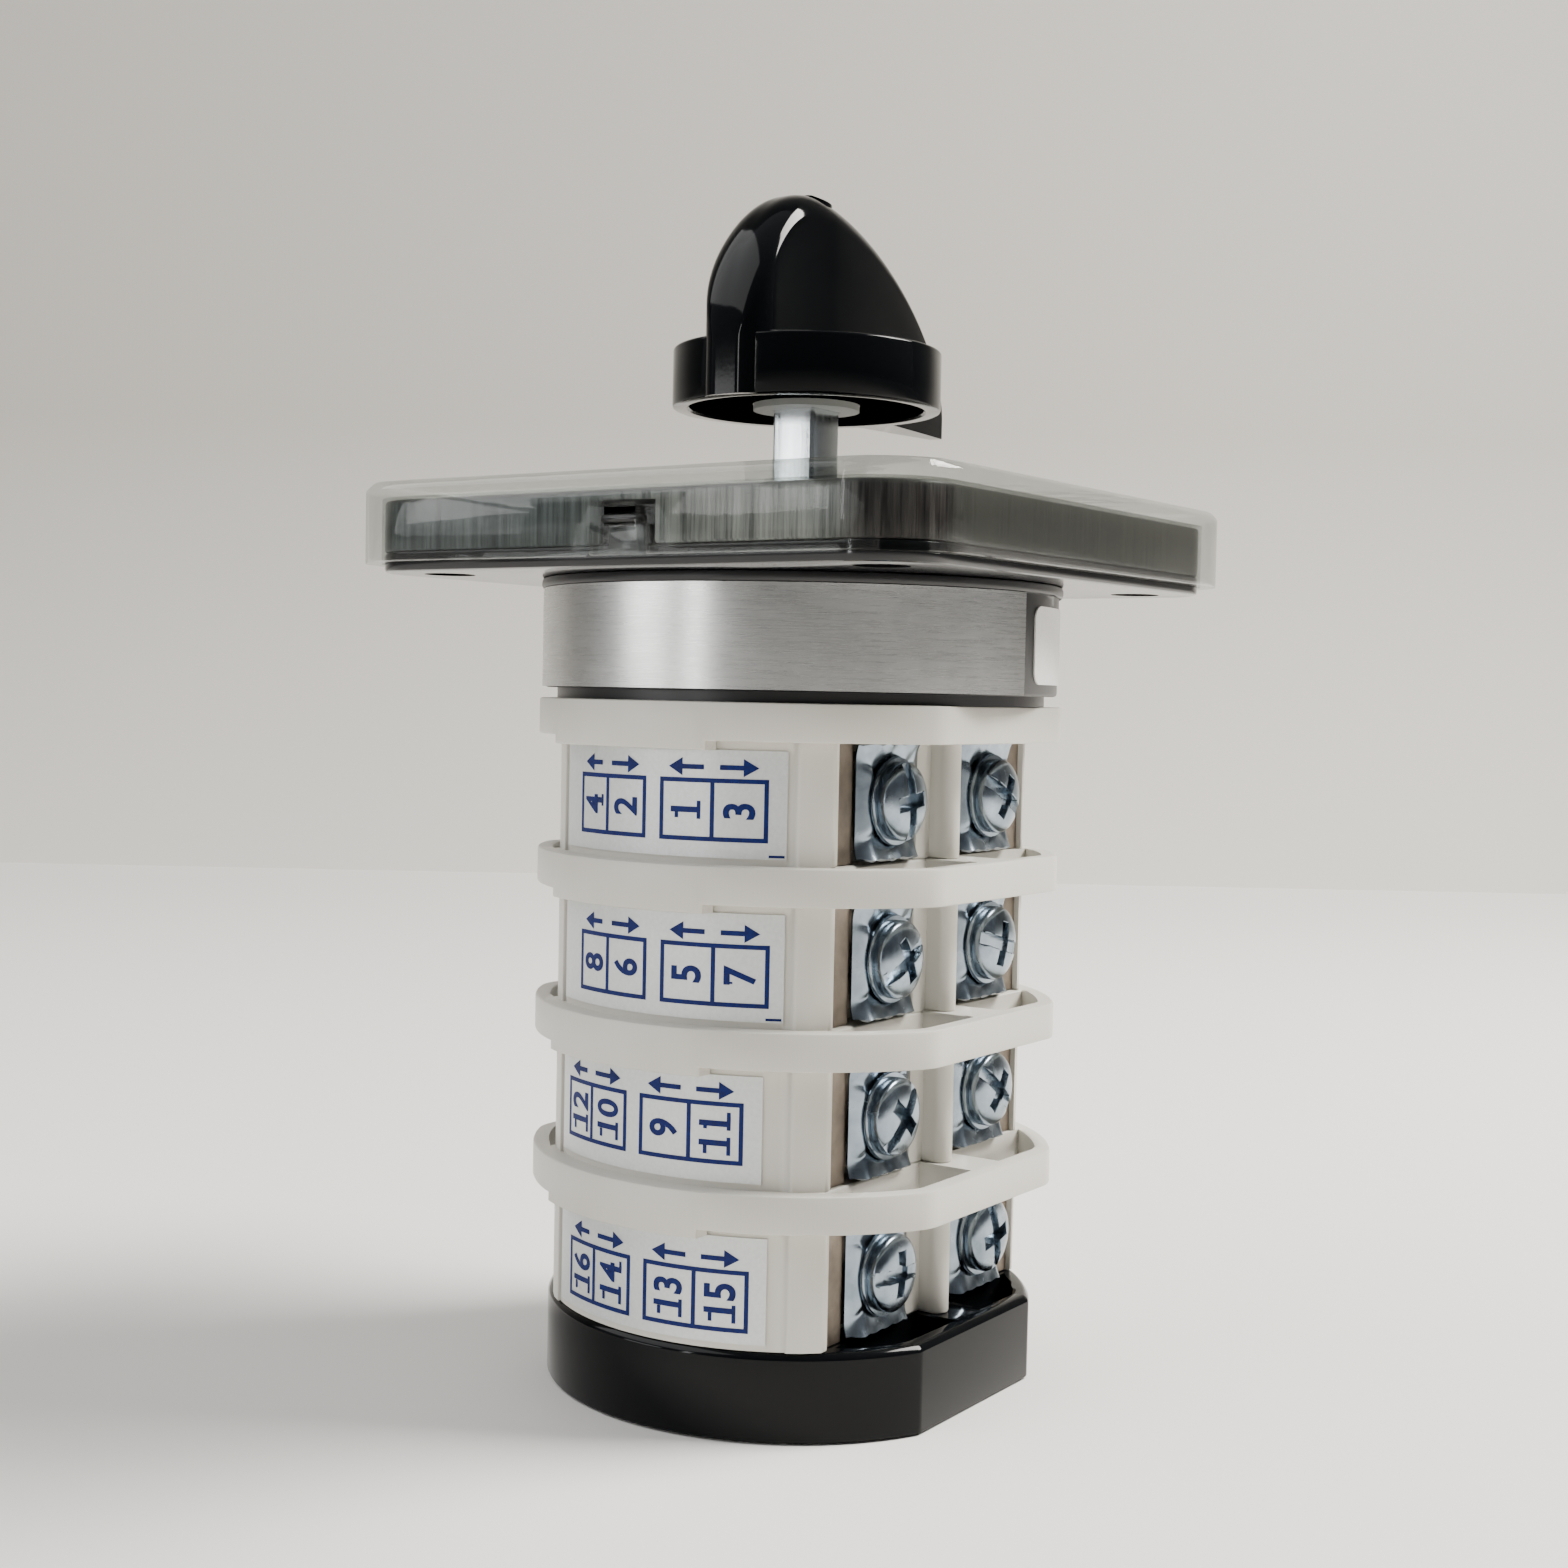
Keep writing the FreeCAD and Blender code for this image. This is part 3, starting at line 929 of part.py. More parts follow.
def knob(grip):
    """The gloss black knob: skirt ring, web, hub and grip in one moulding."""
    top = KNOB_BOTTOM + KNOB_SKIRT
    ring = rod(KNOB_RADIUS, KNOB_BOTTOM, top)
    ring = ring.makeChamfer(KNOB_EDGE, level_edges(ring, top) + level_edges(ring, KNOB_BOTTOM))
    web_top = top - KNOB_WEB_DROP
    web_bottom = web_top - KNOB_WEB
    inside = rod(KNOB_RADIUS - KNOB_WALL, KNOB_BOTTOM, top)
    web = rod(KNOB_RADIUS - KNOB_WALL, web_bottom, web_top)
    hub = rod(HUB_RADIUS, KNOB_BOTTOM + WASHER_DROP, web_top)
    under = rod(KNOB_RADIUS - KNOB_WALL, KNOB_BOTTOM, web_bottom).cut(hub)
    body = ring.cut(inside).fuse([web, hub, grip]).cut(under)
    body = body.cut(rod(HUB_RADIUS, KNOB_BOTTOM, KNOB_BOTTOM + WASHER_DROP))
    socket = square_hole(KNOB_BOTTOM, SHAFT_TOP + SHAFT_END_GAP)
    seat = bolt(SHANK_SIDES, KNOB_SCREW_RADIUS + HOLE_CLEARANCE, SHAFT_TOP, KNOB_SCREW_SEAT)
    well = rod(CAP_RADIUS + CAP_FIT, KNOB_SCREW_SEAT, KNOB_BOTTOM + KNOB_HEIGHT + OVERCUT)
    return body.cut([socket, seat, well])


def knob_cap(grip):
    """The plug that covers the knob's screw, following the ridge."""
    top = KNOB_BOTTOM + KNOB_HEIGHT
    return lifted(grip, CAP_PROUD).common(rod(CAP_RADIUS, top - CAP_LENGTH, top + OVERCUT))


def knob_screw():
    """The screw that draws the knob down on the shaft."""
    head = bolt(HEAD_SIDES, KNOB_SCREW_HEAD_RADIUS, KNOB_SCREW_SEAT, KNOB_SCREW_SEAT + KNOB_SCREW_HEAD_HEIGHT)
    slot = block(-KNOB_SCREW_HEAD_RADIUS, KNOB_SCREW_HEAD_RADIUS, -SCREW_SLOT_WIDTH / 2, SCREW_SLOT_WIDTH / 2,
                 KNOB_SCREW_SEAT + KNOB_SCREW_HEAD_HEIGHT / 2, KNOB_SCREW_SEAT + KNOB_SCREW_HEAD_HEIGHT)
    thread = bolt(SHANK_SIDES, KNOB_SCREW_RADIUS, KNOB_SCREW_SEAT - KNOB_SCREW_LENGTH, KNOB_SCREW_SEAT)
    return head.fuse(thread).cut(slot)


def hub_washer():
    """The pale plastic washer in the knob's hub, round the shaft."""
    disc = rod(HUB_RADIUS - CAP_FIT, KNOB_BOTTOM, KNOB_BOTTOM + WASHER_DROP)
    return disc.cut(square_hole(KNOB_BOTTOM, KNOB_BOTTOM + WASHER_DROP))


def group(shapes):
    """Separate solids that share one node."""
    return Part.makeCompound(shapes)


def save(name, shape):
    """Write one node and say how large it is."""
    faulty = not shape.isValid() or not shape.Solids
    shape.exportStep("parts/" + name + ".step")
    print(name, "solids", len(shape.Solids), "volume", round(shape.Volume, 1), "FAULTY" if faulty else "")


def save_stage(index, floor):
    """Write every node of one stage. Stage 1 is the uppermost, next to the head."""
    number = str(index)
    save("stage_housing_" + number, stage_housing(floor))
    save("stage_label_" + number, stage_label(floor))
    save("fixed_contacts_" + number, group(four_ways(fixed_contact(floor))))
    spring = return_spring(floor)
    save("contact_springs_" + number, group([spring, turned(spring, HALF_TURN)]))
    save("cam_" + number, cam(floor))
    save("front_plunger_" + number, plunger(floor))
    save("rear_plunger_" + number, turned(plunger(floor), HALF_TURN))
    save("front_bridge_" + number, bridge(floor))
    save("rear_bridge_" + number, turned(bridge(floor), HALF_TURN))


def save_terminals(floors):
    """Write the sixteen saddles and terminal screws."""
    saddles = []
    screws = []
    for floor in floors:
        centre = floor + WORK_PLANE
        saddles += four_ways(clamp_plate(centre))
        for turn, side in ((0, 0), (1, 0), (0, HALF_TURN), (1, HALF_TURN)):
            screw = terminal_screw(centre, SCREW_TURN_STEP * (len(screws) + 1))
            screw.translate(V(0, 2 * TERMINAL_Y * turn, 0))
            screws.append(turned(screw, side))
    save("clamp_plates", group(saddles))
    save("terminal_screws", group(screws))


def main():
    os.makedirs("parts", exist_ok=True)
    floors = [STACK_TOP - STAGE_PITCH * (i + 1) for i in range(STAGE_COUNT)]
    for i, floor in enumerate(floors):
        save_stage(i + 1, floor)
    save_terminals(floors)
    grip = knob_grip()
    save("end_cap", end_cap())
    save("tie_screws", group([tie_screw(TIE_X), tie_screw(-TIE_X)]))
    save("tie_nuts", group([tie_nut(TIE_X), tie_nut(-TIE_X)]))
    save("head_base", head_base())
    save("head_housing", head_housing())
    save("rating_band", rating_band())
    save("blank_sticker", blank_sticker())
    save("detent_wheel", detent_wheel())
    save("detent_spring", detent_spring())
    save("stop_plate", stop_plate())
    save("back_plate", back_plate())
    save("plate_screws", group([plate_screw(x, y) for x, y in plate_screw_places()]))
    save("legend_plate", legend_plate())
    save("clear_cover", clear_cover())
    save("shaft", shaft())
    save("knob", knob(grip))
    save("knob_cap", knob_cap(grip))
    save("knob_screw", knob_screw())
    save("hub_washer", hub_washer())


main()
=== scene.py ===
# %% [markdown]
# # A rotary cam switch, dressed in Blender
#
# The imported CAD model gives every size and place. This lesson rounds its moulded edges, models the
# pieces that need more care than a CAD solid has (knob, screws, saddles, print), and gives each
# surface a finish that could be described to a paint shop. The scene is in metres. Sizes are
# written in millimetres, as on a drawing, and multiplied by MM where they are used.

# %% Load the model and keep its box
import math

import bpy
from mathutils import Matrix, Vector


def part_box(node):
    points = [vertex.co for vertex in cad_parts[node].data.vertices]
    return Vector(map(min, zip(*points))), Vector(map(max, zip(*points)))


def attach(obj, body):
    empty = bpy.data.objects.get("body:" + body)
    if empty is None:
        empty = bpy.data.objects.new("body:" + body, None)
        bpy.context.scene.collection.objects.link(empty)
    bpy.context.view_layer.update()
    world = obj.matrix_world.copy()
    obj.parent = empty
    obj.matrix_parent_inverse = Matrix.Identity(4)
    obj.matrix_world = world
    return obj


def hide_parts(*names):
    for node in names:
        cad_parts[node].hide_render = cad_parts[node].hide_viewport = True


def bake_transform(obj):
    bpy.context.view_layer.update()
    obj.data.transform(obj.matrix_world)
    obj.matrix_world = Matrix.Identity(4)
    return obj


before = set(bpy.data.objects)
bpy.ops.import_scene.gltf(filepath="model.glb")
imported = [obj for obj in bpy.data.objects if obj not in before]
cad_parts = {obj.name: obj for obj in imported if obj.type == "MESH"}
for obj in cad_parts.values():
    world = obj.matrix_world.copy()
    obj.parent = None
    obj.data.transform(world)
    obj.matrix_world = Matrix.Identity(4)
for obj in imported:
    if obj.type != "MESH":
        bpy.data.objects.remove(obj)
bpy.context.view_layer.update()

MM = 0.001

# %% [markdown]
# ## Camera
#
# The photo was taken from a little above the switch's middle, close up, with a short telephoto
# field of view. Turn, pitch, roll and place were worked out from the straight edges and the round
# rims in the photo. A camera could also be aimed with a Track To constraint, but three plain
# angles are easier to read and to change.

# %% Camera
AZIMUTH = math.radians(34.464)
PITCH = math.radians(2.437)
ROLL = math.radians(1.161)
bpy.ops.object.camera_add(location=(0.116035, -0.171591, 0.065803))
camera = bpy.context.object
turn = (Matrix.Rotation(AZIMUTH, 3, "Z") @ Matrix.Rotation(math.pi / 2 - PITCH, 3, "X")
        @ Matrix.Rotation(ROLL, 3, "Z"))
camera.rotation_euler = turn.to_euler()
camera.data.sensor_width = 36.0
camera.data.lens = 48.68
camera.data.clip_start = 0.01
bpy.context.scene.camera = camera
print("camera at", tuple(camera.location))

# %% [markdown]
# ## Helpers for selecting and finishing
#
# An operator works on whatever is selected. Everything is deselected first, then one piece is made
# active, and its faces or edges are picked in code by where they are. A modifier is added and
# applied in one go, so that no live modifier is left on a finished piece.

# %% Selecting, editing and applying
def none_selected():
    """Leave edit mode and deselect everything."""
    if bpy.context.mode != "OBJECT":
        bpy.ops.object.mode_set(mode="OBJECT")
    bpy.ops.object.select_all(action="DESELECT")


def only(piece):
    """Make one piece the only selected and active one, in object mode."""
    none_selected()
    piece.select_set(True)
    bpy.context.view_layer.objects.active = piece


def edit(piece, kind="VERT"):
    """Open a piece in edit mode with everything selected."""
    only(piece)
    bpy.ops.object.mode_set(mode="EDIT")
    bpy.ops.mesh.select_mode(type=kind)
    bpy.ops.mesh.select_all(action="SELECT")


def done():
    """Close edit mode."""
    bpy.ops.object.mode_set(mode="OBJECT")


def edit_points(piece, test):
    """Open a piece in edit mode with only those points selected whose place passes the test."""
    edit(piece)
    bpy.ops.mesh.select_all(action="DESELECT")
    done()
    for point in piece.data.vertices:
        point.select = test(point.co)
    bpy.ops.object.mode_set(mode="EDIT")


def modify(piece, kind, **settings):
    """Add a modifier with its settings and apply it."""
    only(piece)
    bpy.ops.object.modifier_add(type=kind)
    modifier = piece.modifiers[-1]
    for key, value in settings.items():
        setattr(modifier, key, value)
    bpy.ops.object.modifier_apply(modifier=modifier.name)


def settle(piece):
    """Put a piece's place, turn and size into its mesh."""
    only(piece)
    bpy.ops.object.transform_apply(location=True, rotation=True, scale=True)


def outward(piece):
    """Turn every face outwards."""
    edit(piece)
    bpy.ops.mesh.normals_make_consistent(inside=False)
    done()


def smooth(piece, degrees=30):
    """Shade smoothly, but keep edges sharper than the angle."""
    only(piece)
    bpy.ops.object.shade_smooth_by_angle(angle=math.radians(degrees))


def own_copy(piece, name):
    """A copy with a mesh of its own, riding on nothing yet."""
    twin = bpy.data.objects.new(name, piece.data.copy())
    bpy.context.collection.objects.link(twin)
    return twin


def dress(piece, material, body):
    """Give a finished piece its one material and its body."""
    piece.data.materials.clear()
    piece.data.materials.append(material)
    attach(piece, body)


# %% [markdown]
# ## Colours and material nodes
#
# A finish is described with sRGB hex values, as on a paint card, and one function turns them into
# the linear colour that a shader expects. One more function adds a node: its attributes are given
# by name, and its sockets in a dictionary, where a socket of another node becomes a link.

# %% Colour and node helpers
NOISE_RANGE = (0.3, 0.7)  # where nearly all of a noise's values lie


def linear(code):
    """Hex sRGB to linear light, fully opaque."""
    parts = [int(code[i:i + 2], 16) / 255 for i in (1, 3, 5)]
    light = [p / 12.92 if p <= 0.04045 else ((p + 0.055) / 1.055) ** 2.4 for p in parts]
    return (*light, 1.0)


def add(tree, kind, sockets=None, **settings):
    """Add one node with its settings, values and links."""
    node = tree.nodes.new("ShaderNode" + kind)
    for key, value in settings.items():
        setattr(node, key, value)
    for key, value in (sockets or {}).items():
        if isinstance(value, bpy.types.NodeSocket):
            tree.links.new(value, node.inputs[key])
        else:
            node.inputs[key].default_value = value
    return node


def new_material(name):
    """An empty material: its node tree, its output node and its Object coordinates."""
    material = bpy.data.materials.new(name)
    material.use_nodes = True
    tree = material.node_tree
    tree.nodes.clear()
    output = add(tree, "OutputMaterial")
    place = add(tree, "TexCoord").outputs["Object"]
    return material, tree, output, place


def stretched(tree, place, x, y, z):
    """Coordinates scaled by a count of repeats per metre along each axis."""
    return add(tree, "Mapping", {"Vector": place, "Scale": (x, y, z)}).outputs["Vector"]


def two_tone(tree, factor, low, high):
    """A ramp from one near colour to another over the middle of a noise's range."""
    ramp = add(tree, "ValToRGB", {"Fac": factor})
    for stop, position, code in zip(ramp.color_ramp.elements, NOISE_RANGE, (low, high)):
        stop.position = position
        stop.color = linear(code)
    return ramp.outputs["Color"]


def spread_over(tree, factor, low, high):
    """A value that follows a noise between two ends."""
    return add(tree, "MapRange", {"Value": factor, "From Min": NOISE_RANGE[0],
                                  "From Max": NOISE_RANGE[1], "To Min": low,
                                  "To Max": high}).outputs["Result"]


# %% [markdown]
# ## Moulded plastics
#
# Every plastic here came out of a steel mould. The stages are a filled polyamide with a satin
# skin, and the knob, the end cap and the back plate come from a polished mould. A satin skin is a
# fine, even grain that softens reflections, plus a very slight cloudiness of colour. A polished
# skin keeps only faint waves from shrinkage and a few smudges in its gloss. Flat colours would look
# like computer plastic, so colour, roughness and height each get a little noise at a real scale.

# %% Moulded plastic
CLOUDS_PER_METRE = 60   # patches about 17 mm wide
WAVES_PER_METRE = 110   # waves about 9 mm long
GRAIN_DEPTH = 0.02
WAVE_DEPTH = 0.3


def moulded(name, low, high, roughness, spread, grain_mm, bump, wave=0.0, shine=0.5):
    """A plastic skin: two near colours in soft clouds, uneven gloss, fine grain and slow waves."""
    material, tree, output, place = new_material(name)
    clouds = stretched(tree, place, *[CLOUDS_PER_METRE] * 3)
    cloud = add(tree, "TexNoise", {"Vector": clouds, "Scale": 1.0, "Detail": 3.0}).outputs["Fac"]
    grains = stretched(tree, place, *[1 / (grain_mm * MM)] * 3)
    grain = add(tree, "TexNoise", {"Vector": grains, "Scale": 1.0, "Detail": 2.0}).outputs["Fac"]
    normal = add(tree, "Bump", {"Height": grain, "Strength": bump,
                                "Distance": GRAIN_DEPTH * MM}).outputs["Normal"]
    if wave:
        waves = stretched(tree, place, *[WAVES_PER_METRE] * 3)
        slow = add(tree, "TexNoise", {"Vector": waves, "Scale": 1.0, "Detail": 0.0}).outputs["Fac"]
        normal = add(tree, "Bump", {"Height": slow, "Strength": wave, "Distance": WAVE_DEPTH * MM,
                                    "Normal": normal}).outputs["Normal"]
    shader = add(tree, "BsdfPrincipled", {
        "Base Color": two_tone(tree, cloud, low, high),
        "Roughness": spread_over(tree, cloud, roughness - spread, roughness + spread),
        "Normal": normal, "IOR": 1.5, "Specular IOR Level": shine})
    tree.links.new(shader.outputs["BSDF"], output.inputs["Surface"])
    return material


# Filled polyamide from a lightly etched mould: a warm light grey with a soft sheen.
stage_plastic = moulded("satin_polyamide", "#C6C3BA", "#D0CDC4", 0.42, 0.05, 0.25, 0.35)
# ABS from a polished mould: nearly black, and as bright as piano lacquer.
gloss_black = moulded("polished_black_abs", "#040507", "#080A0C", 0.07, 0.025, 0.4, 0.05,
                      wave=0.05, shine=0.15)
# The back plate is polished too, but a little duller. Seen almost edge-on, its underside mirrors
# the pale room.
plate_black = moulded("polished_black_plate", "#0A0A0B", "#101012", 0.13, 0.03, 0.4, 0.05)
# Black polyamide with a fine grain, as on the head and the neck plate.
satin_black = moulded("satin_black_polyamide", "#121214", "#18181A", 0.36, 0.06, 0.25, 0.4)
# Acetal for the sliding pieces inside: dark and a little waxy.
inner_plastic = moulded("dark_acetal", "#26262A", "#2E2E33", 0.35, 0.05, 0.25, 0.2)
# Uncoloured nylon of the hub's washer.
pale_plastic = moulded("natural_nylon", "#A9ABA6", "#B4B6B1", 0.4, 0.05, 0.25, 0.2)
print("plastics:", [m.name for m in (stage_plastic, gloss_black, plate_black, satin_black,
                                     inner_plastic, pale_plastic)])

# %% [markdown]
# ## Bare and plated metals
#
# Screws and saddles are steel with bright zinc and a clear, slightly blue passivation. They were
# barrel plated, so their gloss is good but not even: small soft dents and patches. Brass plates
# are stamped and a little dull. The band round the head is rolled aluminium with a satin finish:
# its fine lines run round the head and stretch every highlight up and down.

# %% Plated and rolled metals
DENT_DEPTH = 0.05


def metal(name, low, high, roughness, spread, cloud_mm, bump, line_scale=None):
    """A metal skin: two near colours in patches, uneven gloss, and dents or brushing lines."""
    material, tree, output, place = new_material(name)
    patches = stretched(tree, place, *[1 / (cloud_mm * MM)] * 3)
    cloud = add(tree, "TexNoise", {"Vector": patches, "Scale": 1.0, "Detail": 3.0,
                                   "Roughness": 0.6}).outputs["Fac"]
    height = cloud
    if line_scale:
        lines = stretched(tree, place, *line_scale)
        height = add(tree, "TexNoise", {"Vector": lines, "Scale": 1.0, "Detail": 4.0,
                                        "Roughness": 0.7}).outputs["Fac"]
    skin = add(tree, "Bump", {"Height": height, "Strength": bump, "Distance": DENT_DEPTH * MM})
    shader = add(tree, "BsdfPrincipled", {
        "Base Color": two_tone(tree, cloud, low, high), "Metallic": 1.0,
        "Roughness": spread_over(tree, height, roughness - spread, roughness + spread),
        "Normal": skin.outputs["Normal"]})
    tree.links.new(shader.outputs["BSDF"], output.inputs["Surface"])
    return material


# Screws and saddles: bright zinc whose clear passivation turns it slightly blue.
zinc_steel = metal("blue_passivated_zinc", "#75818C", "#9BA7B2", 0.24, 0.05, 2.5, 0.3)
# Drawn square bar, plated: its faint draw lines run along the shaft.
shaft_steel = metal("zinc_plated_bar", "#D6DDE0", "#E6EBED", 0.2, 0.04, 3.0, 0.3,
                    (3000, 3000, 120))
# Stamped brass that has gone dull and brown.
brass = metal("tarnished_brass", "#7C7267", "#968B7E", 0.55, 0.07, 2.0, 0.3)
# Rolled spring strip, grey and fairly bright.
spring_steel = metal("spring_strip", "#A7A8AA", "#BDBEC0", 0.25, 0.05, 3.0, 0.2)
# Contact bridges: copper with a thin, worn tin.
copper = metal("tinned_copper", "#B88C6C", "#C99E80", 0.3, 0.06, 3.0, 0.2)
# Rolled aluminium: very fine lines round the head, none up and down.
band_metal = metal("satin_aluminium", "#CBCBC9", "#DCDCDA", 0.28, 0.03, 6.0, 0.05,
                   (150, 150, 9000))
print("metals:", [m.name for m in (zinc_steel, shaft_steel, brass, spring_steel, copper,
                                   band_metal)])

# %% [markdown]
# ## Films, print and clear plastic
#
# The labels are a silver polyester film: a pale grey with a faint metallic sheen. The ink on it is
# a navy screen print, thin and slightly uneven. The sticker is coated paper. The tray behind the
# cover is grey and brushed up and down, and the injection-moulded cover before it is polystyrene,
# clear, with a few slow waves in its gloss.

# %% Film, paper and ink
FLECK_DEPTH = 0.01
GLOSS_SPREAD = 0.04


def coated(name, low, high, metallic, roughness, fleck_mm, shine=0.5):
    """A thin printed layer: two near colours with a fine fleck and an even gloss."""
    material, tree, output, place = new_material(name)
    flecks = stretched(tree, place, *[1 / (fleck_mm * MM)] * 3)
    fleck = add(tree, "TexNoise", {"Vector": flecks, "Scale": 1.0, "Detail": 2.0}).outputs["Fac"]
    skin = add(tree, "Bump", {"Height": fleck, "Strength": 0.1, "Distance": FLECK_DEPTH * MM})
    shader = add(tree, "BsdfPrincipled", {
        "Base Color": two_tone(tree, fleck, low, high), "Metallic": metallic,
        "Roughness": spread_over(tree, fleck, roughness - GLOSS_SPREAD, roughness + GLOSS_SPREAD),
        "Normal": skin.outputs["Normal"], "IOR": 1.5, "Specular IOR Level": shine})
    tree.links.new(shader.outputs["BSDF"], output.inputs["Surface"])
    return material


# Silver polyester: a pale grey film with a faint metallic sheen.
label_film = coated("silver_polyester_film", "#C9CCCC", "#D2D5D5", 0.3, 0.34, 0.35)
# Navy screen print, thin and nearly matt.
ink = coated("navy_screen_print", "#03114A", "#061C60", 0.0, 0.5, 0.3, shine=0.2)
# Black pad print of the tray's position marks.
dark_ink = coated("black_pad_print", "#141416", "#1D1D20", 0.0, 0.45, 0.3)
# White coated paper of the small sticker.
sticker_paper = coated("coated_paper", "#E4E2DE", "#EDEBE8", 0.0, 0.5, 0.3)
print("layers:", [m.name for m in (label_film, ink, dark_ink, sticker_paper)])


# %% Brushed tray
FINE_STREAKS = (3000, 3000, 90)    # repeats a metre: about 3 a millimetre round the tray,
BROAD_STREAKS = (900, 900, 50)     # each longer than the tray is high


def brushed_tray():
    """Grey polystyrene brushed upwards, with painted reflection: each side and the near corner get
    tones of their own.
    """
    material, tree, output, place = new_material("brushed_grey_tray")
    fine = add(tree, "TexNoise", {"Vector": stretched(tree, place, *FINE_STREAKS), "Scale": 1.0,
                                  "Detail": 3.0, "Roughness": 0.65}).outputs["Fac"]
    broad = add(tree, "TexNoise", {"Vector": stretched(tree, place, *BROAD_STREAKS), "Scale": 1.0,
                                   "Detail": 2.0}).outputs["Fac"]
    both = add(tree, "Mix", {"Factor": 0.45, "A": fine, "B": broad}).outputs["Result"]
    both = add(tree, "MapRange", {"Value": both, "From Min": 0.4, "From Max": 0.6,
                                  "To Min": NOISE_RANGE[0],
                                  "To Max": NOISE_RANGE[1]}).outputs["Result"]
    spot = add(tree, "SeparateXYZ", {"Vector": place}).outputs

    def share(value, start, end):
        """How far a value has come from one place, in millimetres, to another: 0 to 1."""
        return add(tree, "MapRange", {"Value": value, "From Min": start * MM,
                                      "From Max": end * MM}).outputs["Result"]

    def over(factor, first, second):
        """One colour over another by a factor."""
        mix = add(tree, "MixRGB", {"Fac": factor, "Color1": first, "Color2": second})
        return mix.outputs["Color"]

    def combined(first, second, operation):
        """Two values in one."""
        return add(tree, "Math", {0: first, 1: second}, operation=operation).outputs["Value"]

    # Painted reflection tones: a dull and a bright grey for the front, a dark one for the near
    # corner, and a plain one for the other sides and the top.
    left = two_tone(tree, both, "#34393B", "#646A6A")
    middle = two_tone(tree, both, "#50514F", "#A9A8A4")
    corner_painted_reflection = two_tone(tree, both, "#1C1718", "#544C4A")
    right = two_tone(tree, broad, "#4A4845", "#53514D")
    # Painted reflection: the front side runs from dull to bright, the others are plain, the near
    # corner is painted dark, and the top is plain again.
    front = over(share(spot["X"], -4, 12), left, middle)
    sides = over(share(spot["Y"], -28.5, -24.5), front, right)
    diagonal = combined(spot["X"], spot["Y"], "SUBTRACT")
    painted_reflection_corner_mask = combined(share(diagonal, 52.0, 54.5), share(spot["X"], 20, 26), "MULTIPLY")
    tint = over(painted_reflection_corner_mask, sides, corner_painted_reflection)
    tint = over(share(spot["Z"], 82.5, 82.85), tint, right)
    skin = add(tree, "Bump", {"Height": both, "Strength": 0.4, "Distance": 0.1 * MM})
    shader = add(tree, "BsdfPrincipled", {"Base Color": tint, "Metallic": 0.2,
                                          "Roughness": spread_over(tree, fine, 0.3, 0.42),
                                          "Normal": skin.outputs["Normal"]})
    tree.links.new(shader.outputs["BSDF"], output.inputs["Surface"])
    return material


legend_grey = brushed_tray()
print("tray:", legend_grey.name)


# %% Clear polystyrene
def clear_plastic_skin():
    """A thin clear wall: light passes, and the gloss grows towards a grazing view."""
    material, tree, output, place = new_material("clear_polystyrene")
    waves = stretched(tree, place, 240, 240, 50)
    slow = add(tree, "TexNoise", {"Vector": waves, "Scale": 1.0, "Detail": 1.0}).outputs["Fac"]
    skin = add(tree, "Bump", {"Height": slow, "Strength": 0.6,
                              "Distance": 0.12 * MM}).outputs["Normal"]
    clear = add(tree, "BsdfTransparent", {"Color": linear("#E6E8E7")})
    gloss = add(tree, "BsdfGlossy", {"Color": linear("#F4F4F2"), "Roughness": 0.06, "Normal": skin})
    turned_away = add(tree, "LayerWeight", {"Blend": 0.5, "Normal": skin}).outputs["Facing"]
    steep = add(tree, "Math", {0: turned_away, 1: 3.0}, operation="POWER").outputs["Value"]
    share = add(tree, "MapRange", {"Value": steep, "To Min": 0.01, "To Max": 0.55}).outputs["Result"]
    both = add(tree, "MixShader", {0: share, 1: clear.outputs["BSDF"], 2: gloss.outputs["BSDF"]})
    tree.links.new(both.outputs["Shader"], output.inputs["Surface"])
    return material


clear_plastic = clear_plastic_skin()
print("clear plastic:", clear_plastic.name)


# %% [markdown]
# ## Pieces whose CAD shape is right
#
# Contacts, cams, plungers, the detent, nuts and hidden screws sit inside and keep their CAD shape,
# and so do the band, the sticker, the washer and the neck plate. They only need a finish, which is
# put in their material slot.

# %% Paint the CAD nodes that keep their own shape
STAGES = (1, 2, 3, 4)


def paint(material, *names):
    """Give CAD nodes one material each."""
    for name in names:
        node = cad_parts[name]
        node.data.materials.clear()
        node.data.materials.append(material)
    print(material.name, "on", ", ".join(names))


for n in STAGES:
    paint(brass, f"fixed_contacts_{n}")
    paint(inner_plastic, f"cam_{n}", f"front_plunger_{n}", f"rear_plunger_{n}")
    paint(copper, f"front_bridge_{n}", f"rear_bridge_{n}")
paint(inner_plastic, "detent_wheel")
paint(spring_steel, "detent_spring", "stop_plate")
paint(zinc_steel, "tie_screws", "tie_nuts", "plate_screws", "knob_screw")
paint(band_metal, "rating_band")
paint(sticker_paper, "blank_sticker")
paint(pale_plastic, "hub_washer")
paint(satin_black, "head_base")

# %% [markdown]
# ## Rounded moulded edges
#
# A moulded or drawn piece has no razor edge: each outer corner is rounded by a few tenths of a
# millimetre, and that thin rounding is what catches the light. The CAD solids are kept sharp, so
# a merged copy of each is made: its loose triangles are welded, flat areas are dissolved to single
# faces, and the outer edges are picked by their angle and place and bevelled. A Bevel modifier
# would also round the shallow steps of the label's recess, so the edges are picked in code.

